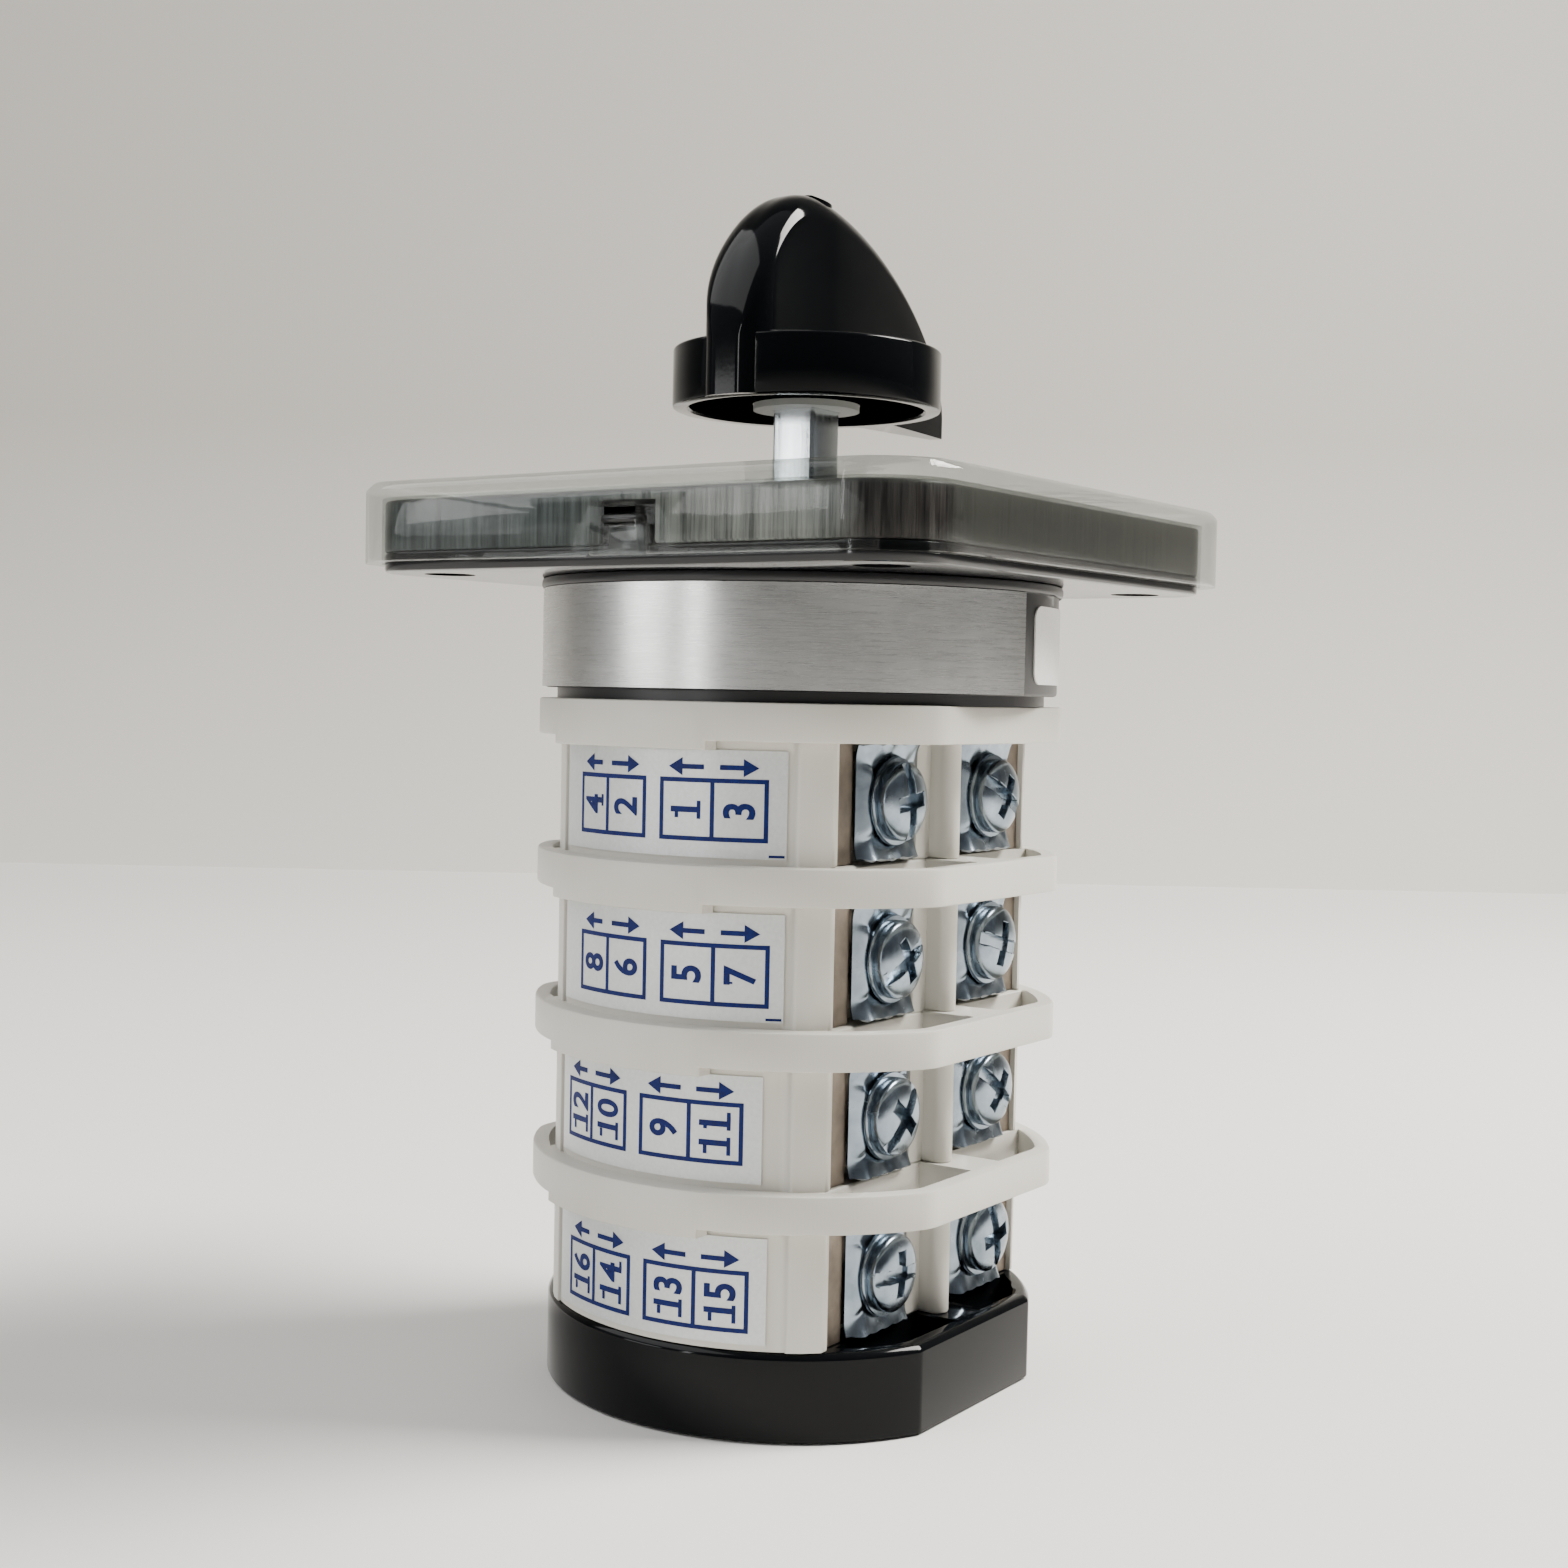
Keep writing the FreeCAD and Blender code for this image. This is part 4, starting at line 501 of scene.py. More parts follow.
# %% Rounding a merged copy
def convex_edges(mesh, keep, least_degrees):
    """Mark the edges that stick out at an angle, where the place passes the test."""
    sides = {}
    for face in mesh.polygons:
        for key in face.edge_keys:
            sides.setdefault(key, []).append(face)
    limit = math.cos(math.radians(least_degrees))
    count = 0
    for edge in mesh.edges:
        pair = sides.get(edge.key, [])
        middle = (mesh.vertices[edge.vertices[0]].co + mesh.vertices[edge.vertices[1]].co) / 2
        sharp = len(pair) == 2 and pair[0].normal.dot(pair[1].normal) < limit
        out = sharp and (pair[1].center - pair[0].center).dot(pair[0].normal) < 0
        edge.select = bool(out and keep(middle / MM))
        count += edge.select
    return count


def merged_copy(node):
    """The CAD node's shape as one welded mesh with whole flat faces."""
    piece = own_copy(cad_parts[node], node + "_dressed")
    edit(piece)
    bpy.ops.mesh.remove_doubles(threshold=0.002 * MM)
    bpy.ops.mesh.dissolve_limited(angle_limit=math.radians(0.4))
    done()
    return piece


def ease(piece, radius_mm, keep, least_degrees=30):
    """Round the outer edges of a piece where their place passes the test, and count them."""
    edit(piece, "EDGE")
    bpy.ops.mesh.select_all(action="DESELECT")
    done()
    count = convex_edges(piece.data, keep, least_degrees)
    bpy.ops.object.mode_set(mode="EDIT")
    bpy.ops.mesh.bevel(offset=radius_mm * MM, segments=2, profile=0.5, clamp_overlap=False)
    done()
    return count


def rounded(node, body, material, radius_mm, keep):
    """A copy of a CAD node with its outer edges rounded, which stands for the node."""
    piece = merged_copy(node)
    count = ease(piece, radius_mm, keep)
    smooth(piece)
    dress(piece, material, body)
    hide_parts(node)
    print(node, "edges rounded:", count, "faces:", len(piece.data.polygons))
    return piece


# %% Stage housings, head, plates and end cap
def from_axis(p):
    """A place's distance from the shaft's axis."""
    return math.hypot(p.x, p.y)


def from_middle(p):
    """Half the side of the upright square that a place lies on."""
    return max(abs(p.x), abs(p.y))


def stage_outside(p):
    """True on the hoop and the outer faces, but not in the label's shallow recess."""
    return from_axis(p) > 24.5 or abs(p.x) > 14.9


def cap_outside(p):
    """True on the end cap's wall and floor, but not round the body's seat or the screw pockets."""
    return from_axis(p) > 15 and (from_axis(p) > 20.5 or abs(p.x) > 15.7)


for n in STAGES:
    rounded(f"stage_housing_{n}", "base", stage_plastic, 0.22, stage_outside)
rounded("end_cap", "base", gloss_black, 0.18, cap_outside)
rounded("head_housing", "base", satin_black, 0.3, lambda p: from_axis(p) > 24.6)
rounded("back_plate", "base", plate_black, 0.3, lambda p: from_middle(p) > 27)
rounded("legend_plate", "base", legend_grey, 0.3, lambda p: from_middle(p) > 27)
rounded("shaft", "rotor", shaft_steel, 0.12, lambda p: p.z > 8)
rounded("clear_cover", "base", clear_plastic, 0.3, lambda p: from_middle(p) > 31)

# %% [markdown]
# ## Leaf springs
#
# Inside each stage a bent leaf pushes a plunger back on its cam. The leaf's feet press on the
# housing and its flat middle lies on the plunger, so when the plunger slides the feet stay and the
# middle goes along. Each leaf of the CAD's pair becomes a piece of its own.


def leaf_spring(n, side, way):
    """One leaf of stage n, on the side of Y that way names."""
    leaf = merged_copy(f"contact_springs_{n}")
    leaf.name = f"{side}_spring_{n}"
    edit_points(leaf, lambda p: p.y * way < 0)
    bpy.ops.mesh.delete(type="VERT")
    done()
    leaf.data.materials.clear()
    leaf.data.materials.append(spring_steel)
    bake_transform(leaf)
    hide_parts(f"contact_springs_{n}")
    return leaf


for n in STAGES:
    leaves = [leaf_spring(n, "front", -1), leaf_spring(n, "rear", 1)]
    print([(leaf.name, len(leaf.data.polygons)) for leaf in leaves])

# %% [markdown]
# ## Turned shapes
#
# Screw heads, washers and the knob's ring are turned shapes: one profile carried round an axis.
# Spin would do it in one call. Here the profile is walked ring by ring with extrude and resize,
# because each ring's radius and height can then be read straight from the drawing.

# %% A lathe from a circle, extruded and resized
def lathe(name, profile, sides):
    """Carry a profile of (radius, height) points round Z and close what is open."""
    none_selected()
    radius, height = profile[0]
    bpy.ops.mesh.primitive_circle_add(vertices=sides, radius=radius * MM, fill_type="NOTHING",
                                      location=(0, 0, height * MM))
    piece = bpy.context.object
    piece.name = name
    settle(piece)
    edit(piece)
    for wide, high in profile[1:]:
        rise = (0, 0, (high - height) * MM)
        bpy.ops.mesh.extrude_region_move(TRANSFORM_OT_translate={"value": rise})
        grow = wide / radius
        bpy.ops.transform.resize(value=(grow, grow, 1), center_override=(0, 0, high * MM))
        radius, height = wide, high
    bpy.ops.mesh.select_all(action="SELECT")
    bpy.ops.mesh.remove_doubles(threshold=0.0005 * MM)
    bpy.ops.mesh.fill_holes(sides=0)
    bpy.ops.mesh.select_all(action="SELECT")
    bpy.ops.mesh.normals_make_consistent(inside=False)
    done()
    return piece


def quarter(outer, inner, low, high, steps):
    """Points of a quarter ellipse that runs from (outer, low) up and in to (inner, high)."""
    points = []
    for i in range(steps + 1):
        a = math.pi / 2 * i / steps
        points.append((inner + (outer - inner) * math.cos(a), low + (high - low) * math.sin(a)))
    return points


# %% [markdown]
# ## The knob
#
# The grip is a thin dome: seen from the side its ridge is half an ellipse that falls to the rim in
# front and runs out to a pointer behind, and across it has upright flanks with wide, round
# shoulders. It is laid out from a grid whose columns run across the section and whose rows run
# along the grip, each point moved by the same formulas as the CAD solid, only finer. The ring, its
# web and the hub are turned, and the two are one moulding.

# %% Knob sizes
RIM_Z = 93.2
RING_RADIUS = 13.0
RING_INSIDE = 11.4
RING_TOP = RIM_Z + 5.7
WEB_TOP = RING_TOP - 0.8
WEB_BOTTOM = WEB_TOP - 1.0
HUB_RADIUS = 5.2
HUB_BOTTOM = RIM_Z + 0.6
SHAFT_HOLE = 2.45       # half the side of the square hole
SHAFT_HOLE_TOP = RIM_Z + 10.3
PLUG_HOLE_RADIUS = 2.15
PLUG_HOLE = (RIM_Z + 11.2, RIM_Z + 21.5)
PEAK_Y = -1.8
NOSE_Y = -13.5
TIP_Y = 24.8
GRIP_HEIGHT = 20.2
NOSE_HEIGHT = 5.0       # how high the ridge still is at its two ends
TIP_HEIGHT = 2.8
WAIST_HALF = 3.1        # half widths of the grip at its waist, towards the nose and at the tip
NOSE_HALF = 3.8
TIP_HALF = 0.7
NOSE_ROUND = 3.0


def ridge_height(y):
    """Height of the grip's ridge above the rim."""
    if y < PEAK_Y:
        base, power, reach = NOSE_HEIGHT, 2.0, (PEAK_Y - y) / (PEAK_Y - NOSE_Y)
    else:
        base, power, reach = TIP_HEIGHT, 1.6, (y - PEAK_Y) / (TIP_Y - PEAK_Y)
    return base + (GRIP_HEIGHT - base) * max(0.0, 1 - reach ** power) ** (1 / power)


def grip_half_width(y):
    """Half of the grip's width: round at the nose, waisted, narrow at the pointer."""
    if y >= 0:
        return WAIST_HALF + (TIP_HALF - WAIST_HALF) * (y / TIP_Y) ** 1.3
    half = WAIST_HALF + (NOSE_HALF - WAIST_HALF) * (y / RING_RADIUS) ** 2
    short = max(0.0, NOSE_Y + NOSE_ROUND - y)
    return half - NOSE_ROUND + math.sqrt(max(0.0, NOSE_ROUND ** 2 - short ** 2))


# %% Tools to cut with
def cut(piece, tool):
    """Cut a piece with a tool and throw the tool away."""
    modify(piece, "BOOLEAN", operation="DIFFERENCE", object=tool, solver="EXACT")
    bpy.data.objects.remove(tool)


def block_tool(low, high):
    """A box between two corners, to cut with."""
    none_selected()
    middle = [(a + b) / 2 * MM for a, b in zip(low, high)]
    bpy.ops.mesh.primitive_cube_add(size=1, location=middle)
    tool = bpy.context.object
    tool.scale = [(b - a) * MM for a, b in zip(low, high)]
    settle(tool)
    return tool


def round_tool(radius, low, high, sides=64):
    """An upright round bar, to cut with."""
    none_selected()
    bpy.ops.mesh.primitive_cylinder_add(vertices=sides, radius=radius * MM,
                                        depth=(high - low) * MM,
                                        location=(0, 0, (low + high) / 2 * MM))
    tool = bpy.context.object
    settle(tool)
    return tool


# %% Grip from a grid
RING_SIDES = 160
ACROSS = 40
ALONG = 96
NOSE_SHARE = 0.4        # the share of the rows that lie before the ridge's highest point
FLANK_FROM = 0.75       # across: flat ridge, then the shoulder, and the upright flank from here on
SHOULDER_FROM = 0.15
SHOULDER = 0.85         # the shoulder's radius as a share of the half width
HAIR = 0.01


def grip_point(across, along):
    """A point of the grip's skin: across from -1 to 1 over the ridge, along from nose to tip."""
    if along < NOSE_SHARE:
        y = PEAK_Y - (PEAK_Y - NOSE_Y) * math.cos(math.pi / 2 * along / NOSE_SHARE)
    else:
        share = (along - NOSE_SHARE) / (1 - NOSE_SHARE)
        y = PEAK_Y + (TIP_Y - PEAK_Y) * math.sin(math.pi / 2 * share)
    half = grip_half_width(y)
    top = ridge_height(y)
    inset = half * SHOULDER
    side = abs(across)
    if side > FLANK_FROM:
        x, z = half, (top - inset) * (1 - side) / (1 - FLANK_FROM)
    elif side > SHOULDER_FROM:
        a = math.pi / 2 * (side - SHOULDER_FROM) / (FLANK_FROM - SHOULDER_FROM)
        x, z = half - inset * (1 - math.sin(a)), top - inset * (1 - math.cos(a))
    else:
        x, z = (half - inset) * side / SHOULDER_FROM, top
    return Vector((math.copysign(x, across), y, RIM_Z + max(z, HAIR))) * MM


none_selected()
bpy.ops.mesh.primitive_grid_add(x_subdivisions=ACROSS, y_subdivisions=ALONG, size=2.0)
grip = bpy.context.object
for point in grip.data.vertices:
    point.co = grip_point(point.co.x, (point.co.y + 1) / 2)
edit(grip)
bpy.ops.mesh.remove_doubles(threshold=0.001 * MM)
# Each end of the grip is closed by a flat face of its own, and what is left open is the underside.
for end_y in (NOSE_Y, TIP_Y):
    edit_points(grip, lambda p: abs(p.y - end_y * MM) < 0.001 * MM)
    bpy.ops.mesh.edge_face_add()
bpy.ops.mesh.select_all(action="SELECT")
bpy.ops.mesh.fill_holes(sides=0)
bpy.ops.mesh.select_all(action="SELECT")
bpy.ops.mesh.normals_make_consistent(inside=False)
done()
# Under the web the ring is hollow, so the grip ends there too. It ends inside the walls of the ring
# and the web, and a hair above the rim, because faces that coincide would make the union uncertain.
cut(grip, round_tool(RING_INSIDE + 0.1, RIM_Z - 1, WEB_BOTTOM + 0.1, RING_SIDES))
print("grip faces", len(grip.data.polygons))

# %% Ring, web and hub
under_web = [(HUB_RADIUS, HUB_BOTTOM), (HUB_RADIUS, WEB_BOTTOM), (RING_INSIDE, WEB_BOTTOM),
             (RING_INSIDE, RIM_Z + 0.2)]
rim = [(RING_INSIDE + 0.2, RIM_Z), (RING_RADIUS - 0.25, RIM_Z), (RING_RADIUS - 0.07, RIM_Z + 0.07),
       (RING_RADIUS, RIM_Z + 0.25)]
outer_edge = quarter(RING_RADIUS, RING_RADIUS - 0.3, RING_TOP - 0.3, RING_TOP, 4)
top_side = [(RING_INSIDE + 0.15, RING_TOP), (RING_INSIDE, RING_TOP - 0.12),
            (RING_INSIDE, WEB_TOP), (HUB_RADIUS, WEB_TOP)]
knob = lathe("knob_dressed", under_web + rim + outer_edge + top_side, RING_SIDES)
modify(knob, "BOOLEAN", operation="UNION", object=grip, solver="EXACT")
bpy.data.objects.remove(grip)
cut(knob, block_tool((-SHAFT_HOLE, -SHAFT_HOLE, RIM_Z - 1), (SHAFT_HOLE, SHAFT_HOLE, SHAFT_HOLE_TOP)))
cut(knob, round_tool(PLUG_HOLE_RADIUS, *PLUG_HOLE))
smooth(knob, 28)
dress(knob, gloss_black, "rotor")
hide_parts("knob")
paint(gloss_black, "knob_cap")
print("knob faces", len(knob.data.polygons))

# %% [markdown]
# ## Terminal screws
#
# Sixteen pan head screws, each with its captive washer. The head has a slot for a flat blade and a
# short cross for a pointed one. One screw is turned on the lathe and its recess is cut; the copies
# stop at different angles, as screws do once they are tightened.

# %% One screw, head up along Z
WASHER = 0.5
HEAD_RADIUS = 3.55
HEAD_TOP = 1.6
ABOVE_HEAD = 3.0
SLOT_FLOOR = 0.85
CROSS_FLOOR = 0.55
CROSS_REACH = 2.1
shank = [(1.75, -3.9), (1.75, -WASHER)]
washer = [(3.8, -WASHER), (3.95, -0.44), (4.0, -0.34), (4.0, -0.14), (3.93, -0.02)]
head = ([(3.5, 0.0), (HEAD_RADIUS, 0.08), (HEAD_RADIUS, 0.62)]
        + quarter(HEAD_RADIUS, 0.7, 0.68, HEAD_TOP, 14) + [(0.02, HEAD_TOP)])
screw = lathe("terminal_screw", shank + washer + head, 72)
cut(screw, block_tool((-5, -0.55, SLOT_FLOOR), (5, 0.55, ABOVE_HEAD)))
cut(screw, block_tool((-0.62, -CROSS_REACH, CROSS_FLOOR), (0.62, CROSS_REACH, ABOVE_HEAD)))
cut(screw, block_tool((-CROSS_REACH, -0.6, CROSS_FLOOR), (CROSS_REACH, 0.6, ABOVE_HEAD)))
eased = ease(screw, 0.07, lambda p: p.z > 0.9 and from_axis(p) < 3.6, 40)
smooth(screw, 35)
print("screw faces", len(screw.data.polygons), "recess edges eased", eased)

# %% Sixteen screws
SEAT_X = 16.8
TERMINAL_Y = 8.8
FLOORS = {n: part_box(f"stage_housing_{n}")[0].z / MM for n in STAGES}
TERMINAL_RISE = 5.6     # from a stage's floor to the middle of its screws
CENTRES = [FLOORS[n] + TERMINAL_RISE for n in STAGES]
SLOT_TURNS = [8, 62, 150, 35, 118, 76, 20, 95, 140, 52, 5, 70, 88, 12, 60, 130]


def terminal_places():
    """Every terminal: its side (1 or -1), its place along Y and its height."""
    return [(side, y, z) for z in CENTRES for side in (1, -1) for y in (-TERMINAL_Y, TERMINAL_Y)]


for i, (side, y, z) in enumerate(terminal_places()):
    twin = own_copy(screw, f"terminal_screw_{i + 1}")
    place = (Matrix.Translation(Vector((side * SEAT_X, y, z)) * MM)
             @ Matrix.Rotation(side * math.pi / 2, 4, "Y")
             @ Matrix.Rotation(math.radians(SLOT_TURNS[i]), 4, "Z"))
    twin.data.transform(place)
    dress(twin, zinc_steel, "base")
    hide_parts("terminal_screws")
bpy.data.objects.remove(screw)
print("screws placed", len(terminal_places()))

# %% [markdown]
# ## Pressed saddles
#
# The wire is held under a pressed steel plate. Its sides are bent back to the wall and its top and
# bottom edges are curled out and slightly wavy from the press, which is where most of the sparkle
# comes from. A grid gives the sheet, its points are pushed in and out by place, and Solidify gives
# the sheet its thickness.

# %% One saddle, facing +X
SADDLE_X = 16.28
SADDLE_HALF_WIDTH = 5.0
SADDLE_HALF_HEIGHT = 5.1
FLAT_HALF = 3.6         # half the width of the flat middle, before the sides bend back
WAVE = 2 * math.pi / 3.8


def saddle_push(y, z):
    """How far the sheet stands out (+) or in (-) at a place on it, in millimetres."""
    back = max(0.0, (abs(y) - FLAT_HALF) / (SADDLE_HALF_WIDTH - FLAT_HALF))
    start = 3.75 + 0.3 * math.cos((y + 0.6) * WAVE)
    lip = max(0.0, (abs(z) - start) / (SADDLE_HALF_HEIGHT - start))
    hollow = -0.2 * math.exp(-((abs(z) - start + 0.5) / 0.45) ** 2) * (1 - back)
    return -0.85 * back ** 1.5 + 0.55 * lip ** 1.4 * (1 - 0.6 * back) + hollow


none_selected()
bpy.ops.mesh.primitive_grid_add(x_subdivisions=36, y_subdivisions=44, size=2.0)
saddle = bpy.context.object
for point in saddle.data.vertices:
    y = point.co.x * SADDLE_HALF_WIDTH
    z = point.co.y * SADDLE_HALF_HEIGHT
    # The curled edge rises and falls with the waves, most at the very end.
    droop = 0.16 * math.cos(y * WAVE) * max(0.0, abs(z) - 4.2)
    point.co = Vector((SADDLE_X + saddle_push(y, z), y, z * 0.98 + math.copysign(droop, z))) * MM
modify(saddle, "SOLIDIFY", thickness=0.5 * MM, offset=-1.0)
outward(saddle)
smooth(saddle, 40)

# %% Sixteen saddles
for i, (side, y, z) in enumerate(terminal_places()):
    twin = own_copy(saddle, f"saddle_{i + 1}")
    twin.data.transform(Matrix.Translation(Vector((0, y, z)) * MM)
                        @ Matrix.Rotation(0 if side > 0 else math.pi, 4, "Z"))
    dress(twin, zinc_steel, "base")
    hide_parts("clamp_plates")
bpy.data.objects.remove(saddle)
print("saddles placed", len(terminal_places()))

# %% [markdown]
# ## Print on the labels
#
# Each label carries two framed boxes with the four terminal numbers of its stage, turned a quarter
# turn, and four arrows that point to the terminals. Everything is drawn flat in the label's own
# plane (distance round the cylinder, height), cut up finely enough to bend, and then wrapped
# round the curved face as a layer of ink lifted a few hundredths of a millimetre off it.

# %% Flat shapes for print
LABEL_RADIUS = 23.43
INK_LIFT = 0.03
flat_parts = []


def wrapped(piece, radius):
    """Bend a flat piece round the housing's curved front: along it becomes an angle."""
    for point in piece.data.vertices:
        angle = point.co.x / (LABEL_RADIUS * MM)
        reach = radius * MM + point.co.z
        point.co = Vector((reach * math.sin(angle), -reach * math.cos(angle), point.co.y))


def bar(u0, u1, v0, v1):
    """A flat strip between two corners, with enough divisions to bend."""
    none_selected()
    steps = max(2, int((u1 - u0) / 0.6))
    bpy.ops.mesh.primitive_grid_add(x_subdivisions=steps, y_subdivisions=1, size=1.0)
    piece = bpy.context.object
    for point in piece.data.vertices:
        u = u0 + (point.co.x + 0.5) * (u1 - u0)
        v = v0 + (point.co.y + 0.5) * (v1 - v0)
        point.co = Vector((u, v, 0)) * MM
    flat_parts.append(piece)


def frame_box(u0, u1, v0, v1, middle, line=0.4):
    """A framed box with one upright line in it."""
    for v in (v0, v1 - line):
        bar(u0, u1, v, v + line)
    for u in (u0, middle - line / 2, u1 - line):
        bar(u, u + line, v0, v1)


def arrow(tail, tip, v, thick=0.44, head=1.4, spread=0.8):
    """A solid arrow along the label."""
    way = 1 if tip > tail else -1
    neck = tip - way * head
    bar(min(tail, neck), max(tail, neck), v - thick / 2, v + thick / 2)
    none_selected()
    bpy.ops.mesh.primitive_circle_add(vertices=3, radius=1.0, fill_type="NGON")
    piece = bpy.context.object
    corners = ((tip, v), (neck, v - spread), (neck, v + spread))
    for point, (u, w) in zip(piece.data.vertices, corners):
        point.co = Vector((u, w, 0)) * MM
    flat_parts.append(piece)


# Serifs as flat strips: left, right, bottom and top, in shares of the number's height.
SERIFS = {"1": ((-0.45, 0.45, 0.0, 0.12), (-0.42, 0.0, 0.74, 0.86)), "4": ((-0.1, 0.5, 0.0, 0.1),),
          "7": ((-0.38, -0.28, 0.72, 0.95),)}
DIGIT_PITCH = 0.75


def number(text, u, v, height, turned=True, width=0.86):
    """A number made from type and centred on a place; when turned, it faces left and gets small
    serifs.
    """
    none_selected()
    bpy.ops.object.text_add()
    piece = bpy.context.object
    piece.data.body = text
    piece.data.align_x = "CENTER"
    piece.data.resolution_u = 5
    piece.data.offset = 0.026
    bpy.ops.object.convert(target="MESH")
    mesh = piece.data
    low = min(p.co.y for p in mesh.vertices)
    high = max(p.co.y for p in mesh.vertices)
    scale = height / (high - low)
    for point in mesh.vertices:
        across = point.co.x * scale * width
        up = (point.co.y - (low + high) / 2) * scale
        point.co = Vector((u - up, v + across, 0) if turned else (u + across, v + up, 0)) * MM
    flat_parts.append(piece)
    for i, digit in enumerate(text if turned else ""):
        middle = v + (i - (len(text) - 1) / 2) * DIGIT_PITCH * height
        for u0, u1, v0, v1 in SERIFS.get(digit, ()):
            bar(u - (v1 - 0.5) * height, u - (v0 - 0.5) * height, middle + u0 * height * 0.6,
                middle + u1 * height * 0.6)


def gather(name):
    """Join the flat parts into one piece and cut it up so that it can bend."""
    only(flat_parts[0])
    for piece in flat_parts:
        piece.select_set(True)
    bpy.ops.object.join()
    piece = bpy.context.object
    piece.name = name
    edit(piece)
    bpy.ops.mesh.quads_convert_to_tris()
    bpy.ops.mesh.subdivide(number_cuts=1)
    done()
    flat_parts.clear()
    return piece


# %% Four labels
# By hand, the labels were stuck on a little to the left or right of each other: for each stage the
# numbers, the shift of the print along and up, and where the label ends at the right.
NUMBERS = {1: "4213", 2: "8657", 3: ("12", "10", "9", "11"), 4: ("16", "14", "13", "15")}
SHIFTS = {1: (0.0, 0.0, 13.0), 2: (0.36, -0.2, 13.0), 3: (-1.68, 0.13, 11.35),
          4: (-0.92, -0.45, 12.0)}
LABEL_LEFT = -13.0
LABEL_FOOT = 0.6
LABEL_HEIGHT = 9.45
FILM_THICKNESS = 0.17
# The print: each box's left, right and middle line, their bottom and top, the arrows' tails and
# tips, the numbers' places, and the dash at the corner of the upper two labels.
BOXES = ((-9.78, -0.48, -5.42), (1.05, 11.37, 6.27))
BOX_FOOT, BOX_TOP = 2.02, 7.55
ARROWS = ((-6.23, -8.99), (-4.88, -1.31), (5.45, 1.96), (6.94, 10.5))
ARROW_RISE = 8.52
NUMBER_PLACES = (-7.5, -3.0, 3.7, 8.75)
NUMBER_RISE = 4.75
NUMBER_HEIGHT = 2.95
DASH = (11.45, 12.85, 0.75, 0.98)


def label_sheet(n, foot, right_end):
    """The bare film of one label, wrapped round its stage."""
    none_selected()
    bpy.ops.mesh.primitive_grid_add(x_subdivisions=48, y_subdivisions=2, size=1.0)
    sheet = bpy.context.object
    sheet.name = f"label_{n}"
    for point in sheet.data.vertices:
        along = LABEL_LEFT + (point.co.x + 0.5) * (right_end - LABEL_LEFT)
        up = foot + LABEL_FOOT + (point.co.y + 0.5) * LABEL_HEIGHT
        point.co = Vector((along, up, 0)) * MM
    wrapped(sheet, LABEL_RADIUS)
    modify(sheet, "SOLIDIFY", thickness=FILM_THICKNESS * MM, offset=-1.0)
    outward(sheet)
    smooth(sheet)
    dress(sheet, label_film, "base")
    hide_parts(f"stage_label_{n}")


for n in STAGES:
    foot = FLOORS[n]
    shift, rise, right_end = SHIFTS[n]
    label_sheet(n, foot, right_end)
    for left, right, middle in BOXES:
        frame_box(left + shift, right + shift, foot + BOX_FOOT + rise, foot + BOX_TOP + rise,
                  middle + shift)
    for tail, tip in ARROWS:
        arrow(tail + shift, tip + shift, foot + ARROW_RISE + rise)
    for text, u in zip(NUMBERS[n], NUMBER_PLACES):
        number(text, u + shift, foot + NUMBER_RISE + rise, NUMBER_HEIGHT)
    if n < 3:
        bar(DASH[0], DASH[1], foot + DASH[2], foot + DASH[3])
    print_layer = gather(f"label_print_{n}")
    wrapped(print_layer, LABEL_RADIUS + INK_LIFT)
    dress(print_layer, ink, "base")
    print(print_layer.name, "faces", len(print_layer.data.polygons))

# %% [markdown]
# ## Position marks on the tray
#
# Under the clear cover, the tray's top shows the three positions that the pointer turns to: 1, 0
# and 2, with a short line at each. From the photo's own viewpoint they can't be seen, so they are
# plain and generic.

# %% Marks on the tray's top
TRAY_TOP = 83.0
MARK_LIFT = 0.02
MARK_RADIUS = 24.0
MARK_HEIGHT = 5.0
TICK_START = 15.0
TICK_LENGTH = 4.0
TICK_WIDTH = 0.8
for angle, text in ((-60, "2"), (0, "0"), (60, "1")):
    radians = math.radians(90 + angle)
    number(text, MARK_RADIUS * math.cos(radians), MARK_RADIUS * math.sin(radians), MARK_HEIGHT,
           turned=False)
    none_selected()
    bpy.ops.mesh.primitive_grid_add(x_subdivisions=2, y_subdivisions=1, size=1.0)
    tick = bpy.context.object
    for point in tick.data.vertices:
        along = TICK_START + (point.co.x + 0.5) * TICK_LENGTH
        across = point.co.y * TICK_WIDTH
        point.co = Vector((along * math.cos(radians) - across * math.sin(radians),
                           along * math.sin(radians) + across * math.cos(radians), 0)) * MM
    flat_parts.append(tick)
marks = gather("position_marks")
for point in marks.data.vertices:
    point.co.z = (TRAY_TOP + MARK_LIFT) * MM
dress(marks, dark_ink, "base")
print("marks faces", len(marks.data.polygons))
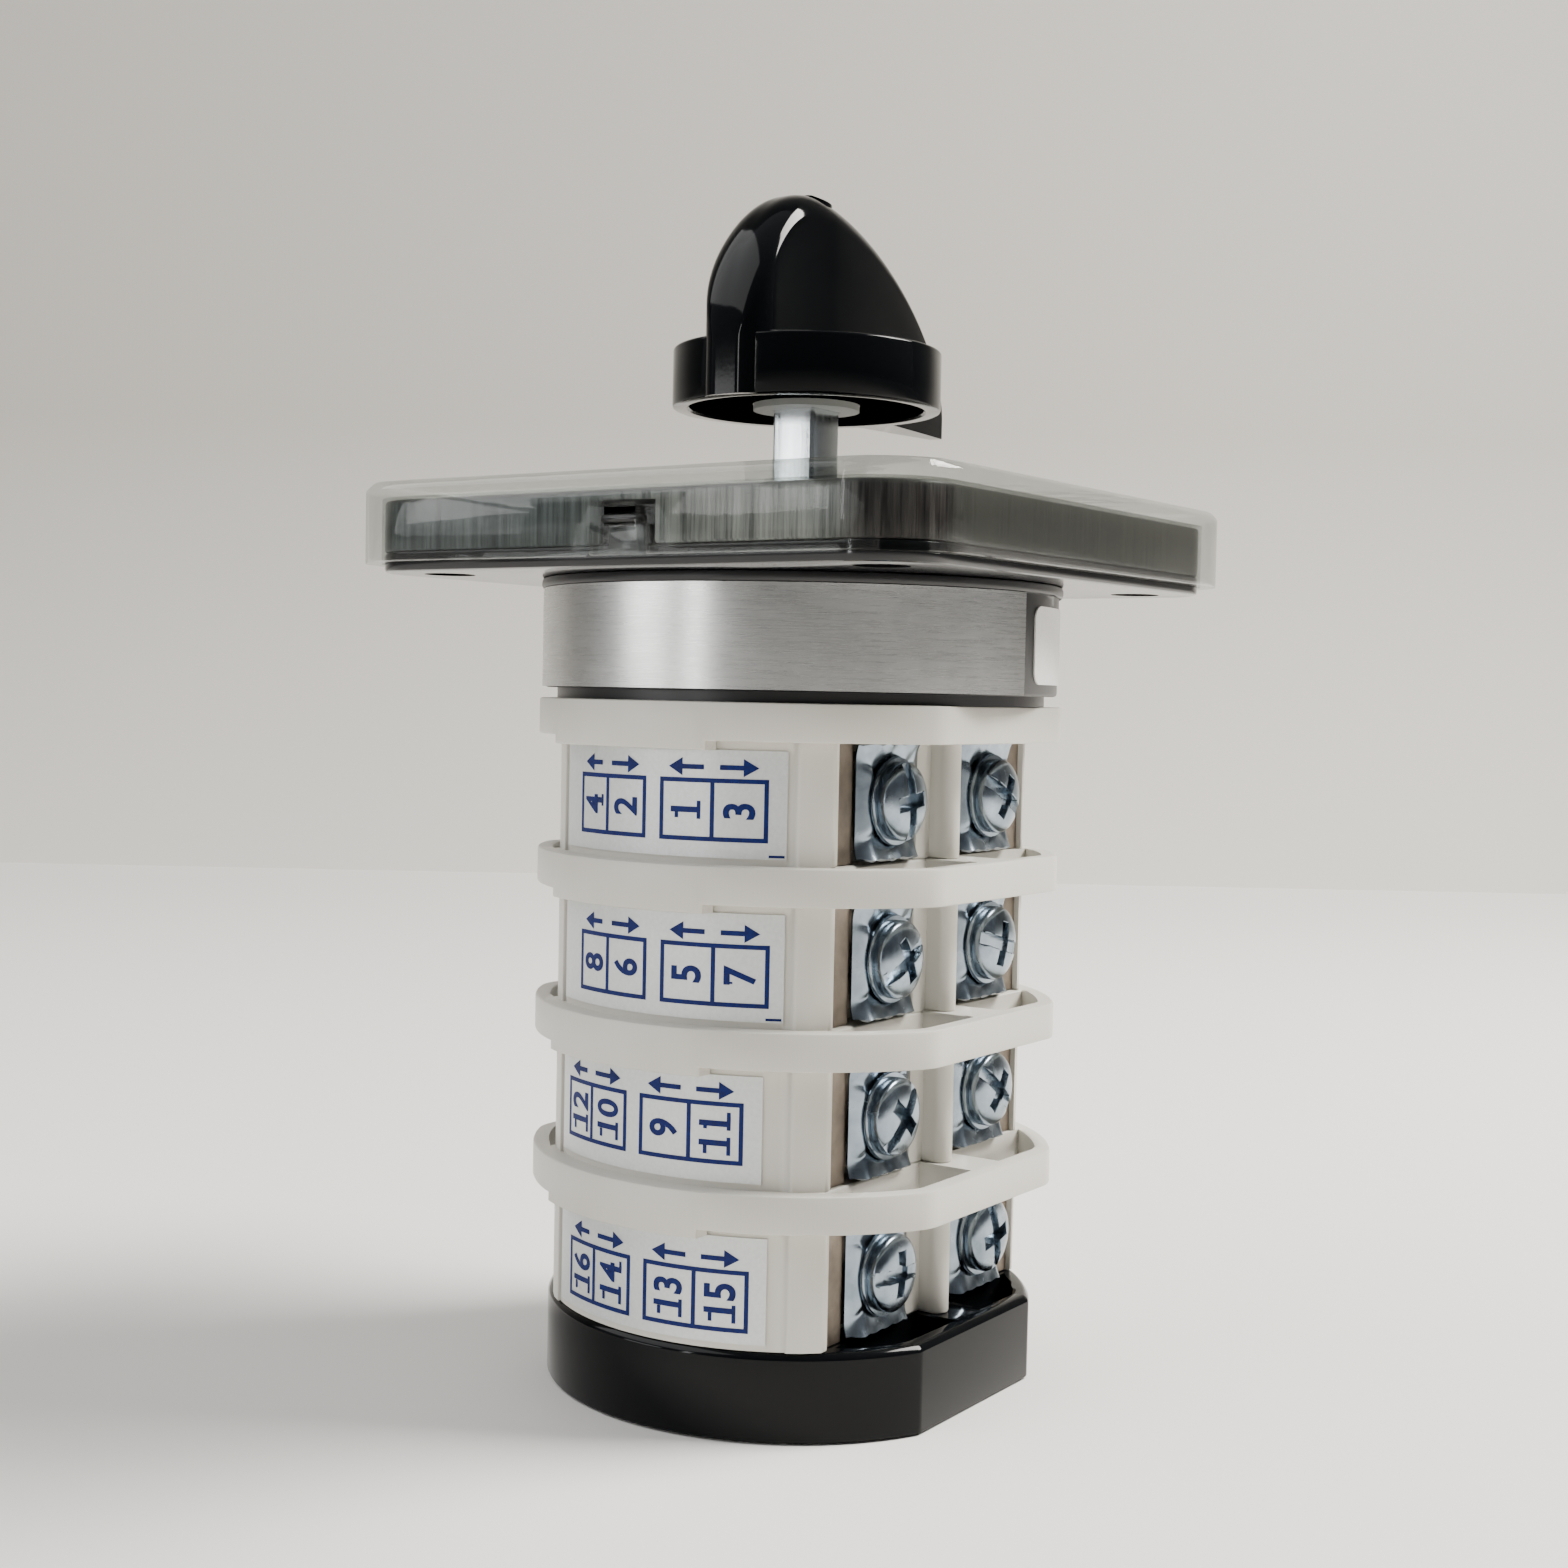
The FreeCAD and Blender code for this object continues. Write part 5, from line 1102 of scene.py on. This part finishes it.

# %% [markdown]
# ## Floor, backdrop and light
#
# The switch stood on a pale sheet under soft daylight and a large lamp. The floor is one large
# pale sheet in one plain colour, and the backdrop a wall far behind it, with painted shade that
# makes it a little darker towards the top. The shadow stays on the floor.

# %% Floor and wall
def sweep(name, low, high, low_z, high_z):
    """A pale matt sheet whose colour follows its height."""
    material, tree, output, place = new_material(name)
    height = add(tree, "SeparateXYZ", {"Vector": place}).outputs["Z"]
    share = add(tree, "MapRange", {"Value": height, "From Min": low_z, "From Max": high_z})
    tint = add(tree, "ValToRGB", {"Fac": share.outputs["Result"]})
    tint.color_ramp.elements[0].color = linear(low)
    tint.color_ramp.elements[1].color = linear(high)
    shader = add(tree, "BsdfPrincipled", {"Base Color": tint.outputs["Color"], "Roughness": 0.8})
    tree.links.new(shader.outputs["BSDF"], output.inputs["Surface"])
    return material


SHEET_SIZE = 6.0
FLOOR_DROP = 0.0002
WALL_DISTANCE = 0.55
view_way = Vector((-math.sin(AZIMUTH), math.cos(AZIMUTH), 0))
none_selected()
bpy.ops.mesh.primitive_plane_add(size=SHEET_SIZE, location=(0, 0, -FLOOR_DROP))
floor_sheet = bpy.context.object
floor_sheet.name = "floor_sheet"
settle(floor_sheet)
floor_sheet.data.materials.append(sweep("pale_floor_sheet", "#ECEAE6", "#ECEAE6", 0.0, 1.0))
none_selected()
bpy.ops.mesh.primitive_plane_add(size=SHEET_SIZE, location=view_way * WALL_DISTANCE,
                                 rotation=(math.pi / 2, 0, AZIMUTH))
wall = bpy.context.object
wall.name = "backdrop"
settle(wall)
# Painted shade: the wall darkens from its foot up to 0.16 m.
wall.data.materials.append(sweep("pale_backdrop", "#DEDBD6", "#B1AEA8", 0.0, 0.16))
print("floor and wall", SHEET_SIZE, "m wide, wall", WALL_DISTANCE, "m behind")


# %% Soft lamps and sky
def softbox(name, place, target, size, watts, tall=None, tint=(1.0, 1.0, 1.0)):
    """A rectangular lamp aimed at a point."""
    bpy.ops.object.light_add(type="AREA", location=place)
    lamp = bpy.context.object
    lamp.name = name
    lamp.data.shape = "RECTANGLE"
    lamp.data.size = size
    lamp.data.size_y = tall or size
    lamp.data.energy = watts
    lamp.data.color = tint
    lamp.rotation_euler = (Vector(target) - Vector(place)).to_track_quat("-Z", "Y").to_euler()
    print(name, watts, "W")


# A window high on the right, a white ceiling, and two low, weak lamps for the gloss of the knob.
TARGET = (0, 0, 0.055)
softbox("window_softbox", (0.36, 0.30, 0.56), TARGET, 0.3, 13.6, tint=(1.0, 0.97, 0.92))
softbox("ceiling_softbox", (-0.38, -0.38, 0.60), TARGET, 0.8, 3.5, tall=0.5)
softbox("low_left_softbox", (-0.46, -0.66, 0.148), TARGET, 0.28, 0.8, tall=0.13)
softbox("strip_light", (-0.16, -0.78, 0.16), TARGET, 0.05, 0.6, tall=0.3)

# %% Room light
# The room is brighter above than at eye level, and dim behind the camera, which is why black gloss
# looks black in front.
world = bpy.data.worlds.new("room_light")
bpy.context.scene.world = world
world.use_nodes = True
room = world.node_tree
way = add(room, "TexCoord").outputs["Generated"]


def facing(direction, low, high, start=0.0):
    """A value that grows from low to high as the view turns from level start to a direction."""
    dot = add(room, "VectorMath", {0: way, 1: direction}, operation="DOT_PRODUCT").outputs["Value"]
    return add(room, "MapRange", {"Value": dot, "From Min": start, "From Max": 1.0, "To Min": low,
                                  "To Max": high}).outputs["Result"]


to_camera = (math.sin(AZIMUTH), -math.cos(AZIMUTH), 0)
to_right = (math.cos(AZIMUTH), math.sin(AZIMUTH), 0)
side = facing(to_right, 0.42, 0.2, -1.0)
above = facing((0, 0, 1), 0.0, 0.45)
dim = facing(to_camera, 1.0, 0.35, -0.1)
total = add(room, "Math", {0: side, 1: above}, operation="ADD").outputs["Value"]
strength = add(room, "Math", {0: total, 1: dim}, operation="MULTIPLY").outputs["Value"]
background = room.nodes["Background"]
background.inputs["Color"].default_value = linear("#DADCE0")
room.links.new(strength, background.inputs["Strength"])
print("room light:", len(room.nodes), "nodes")
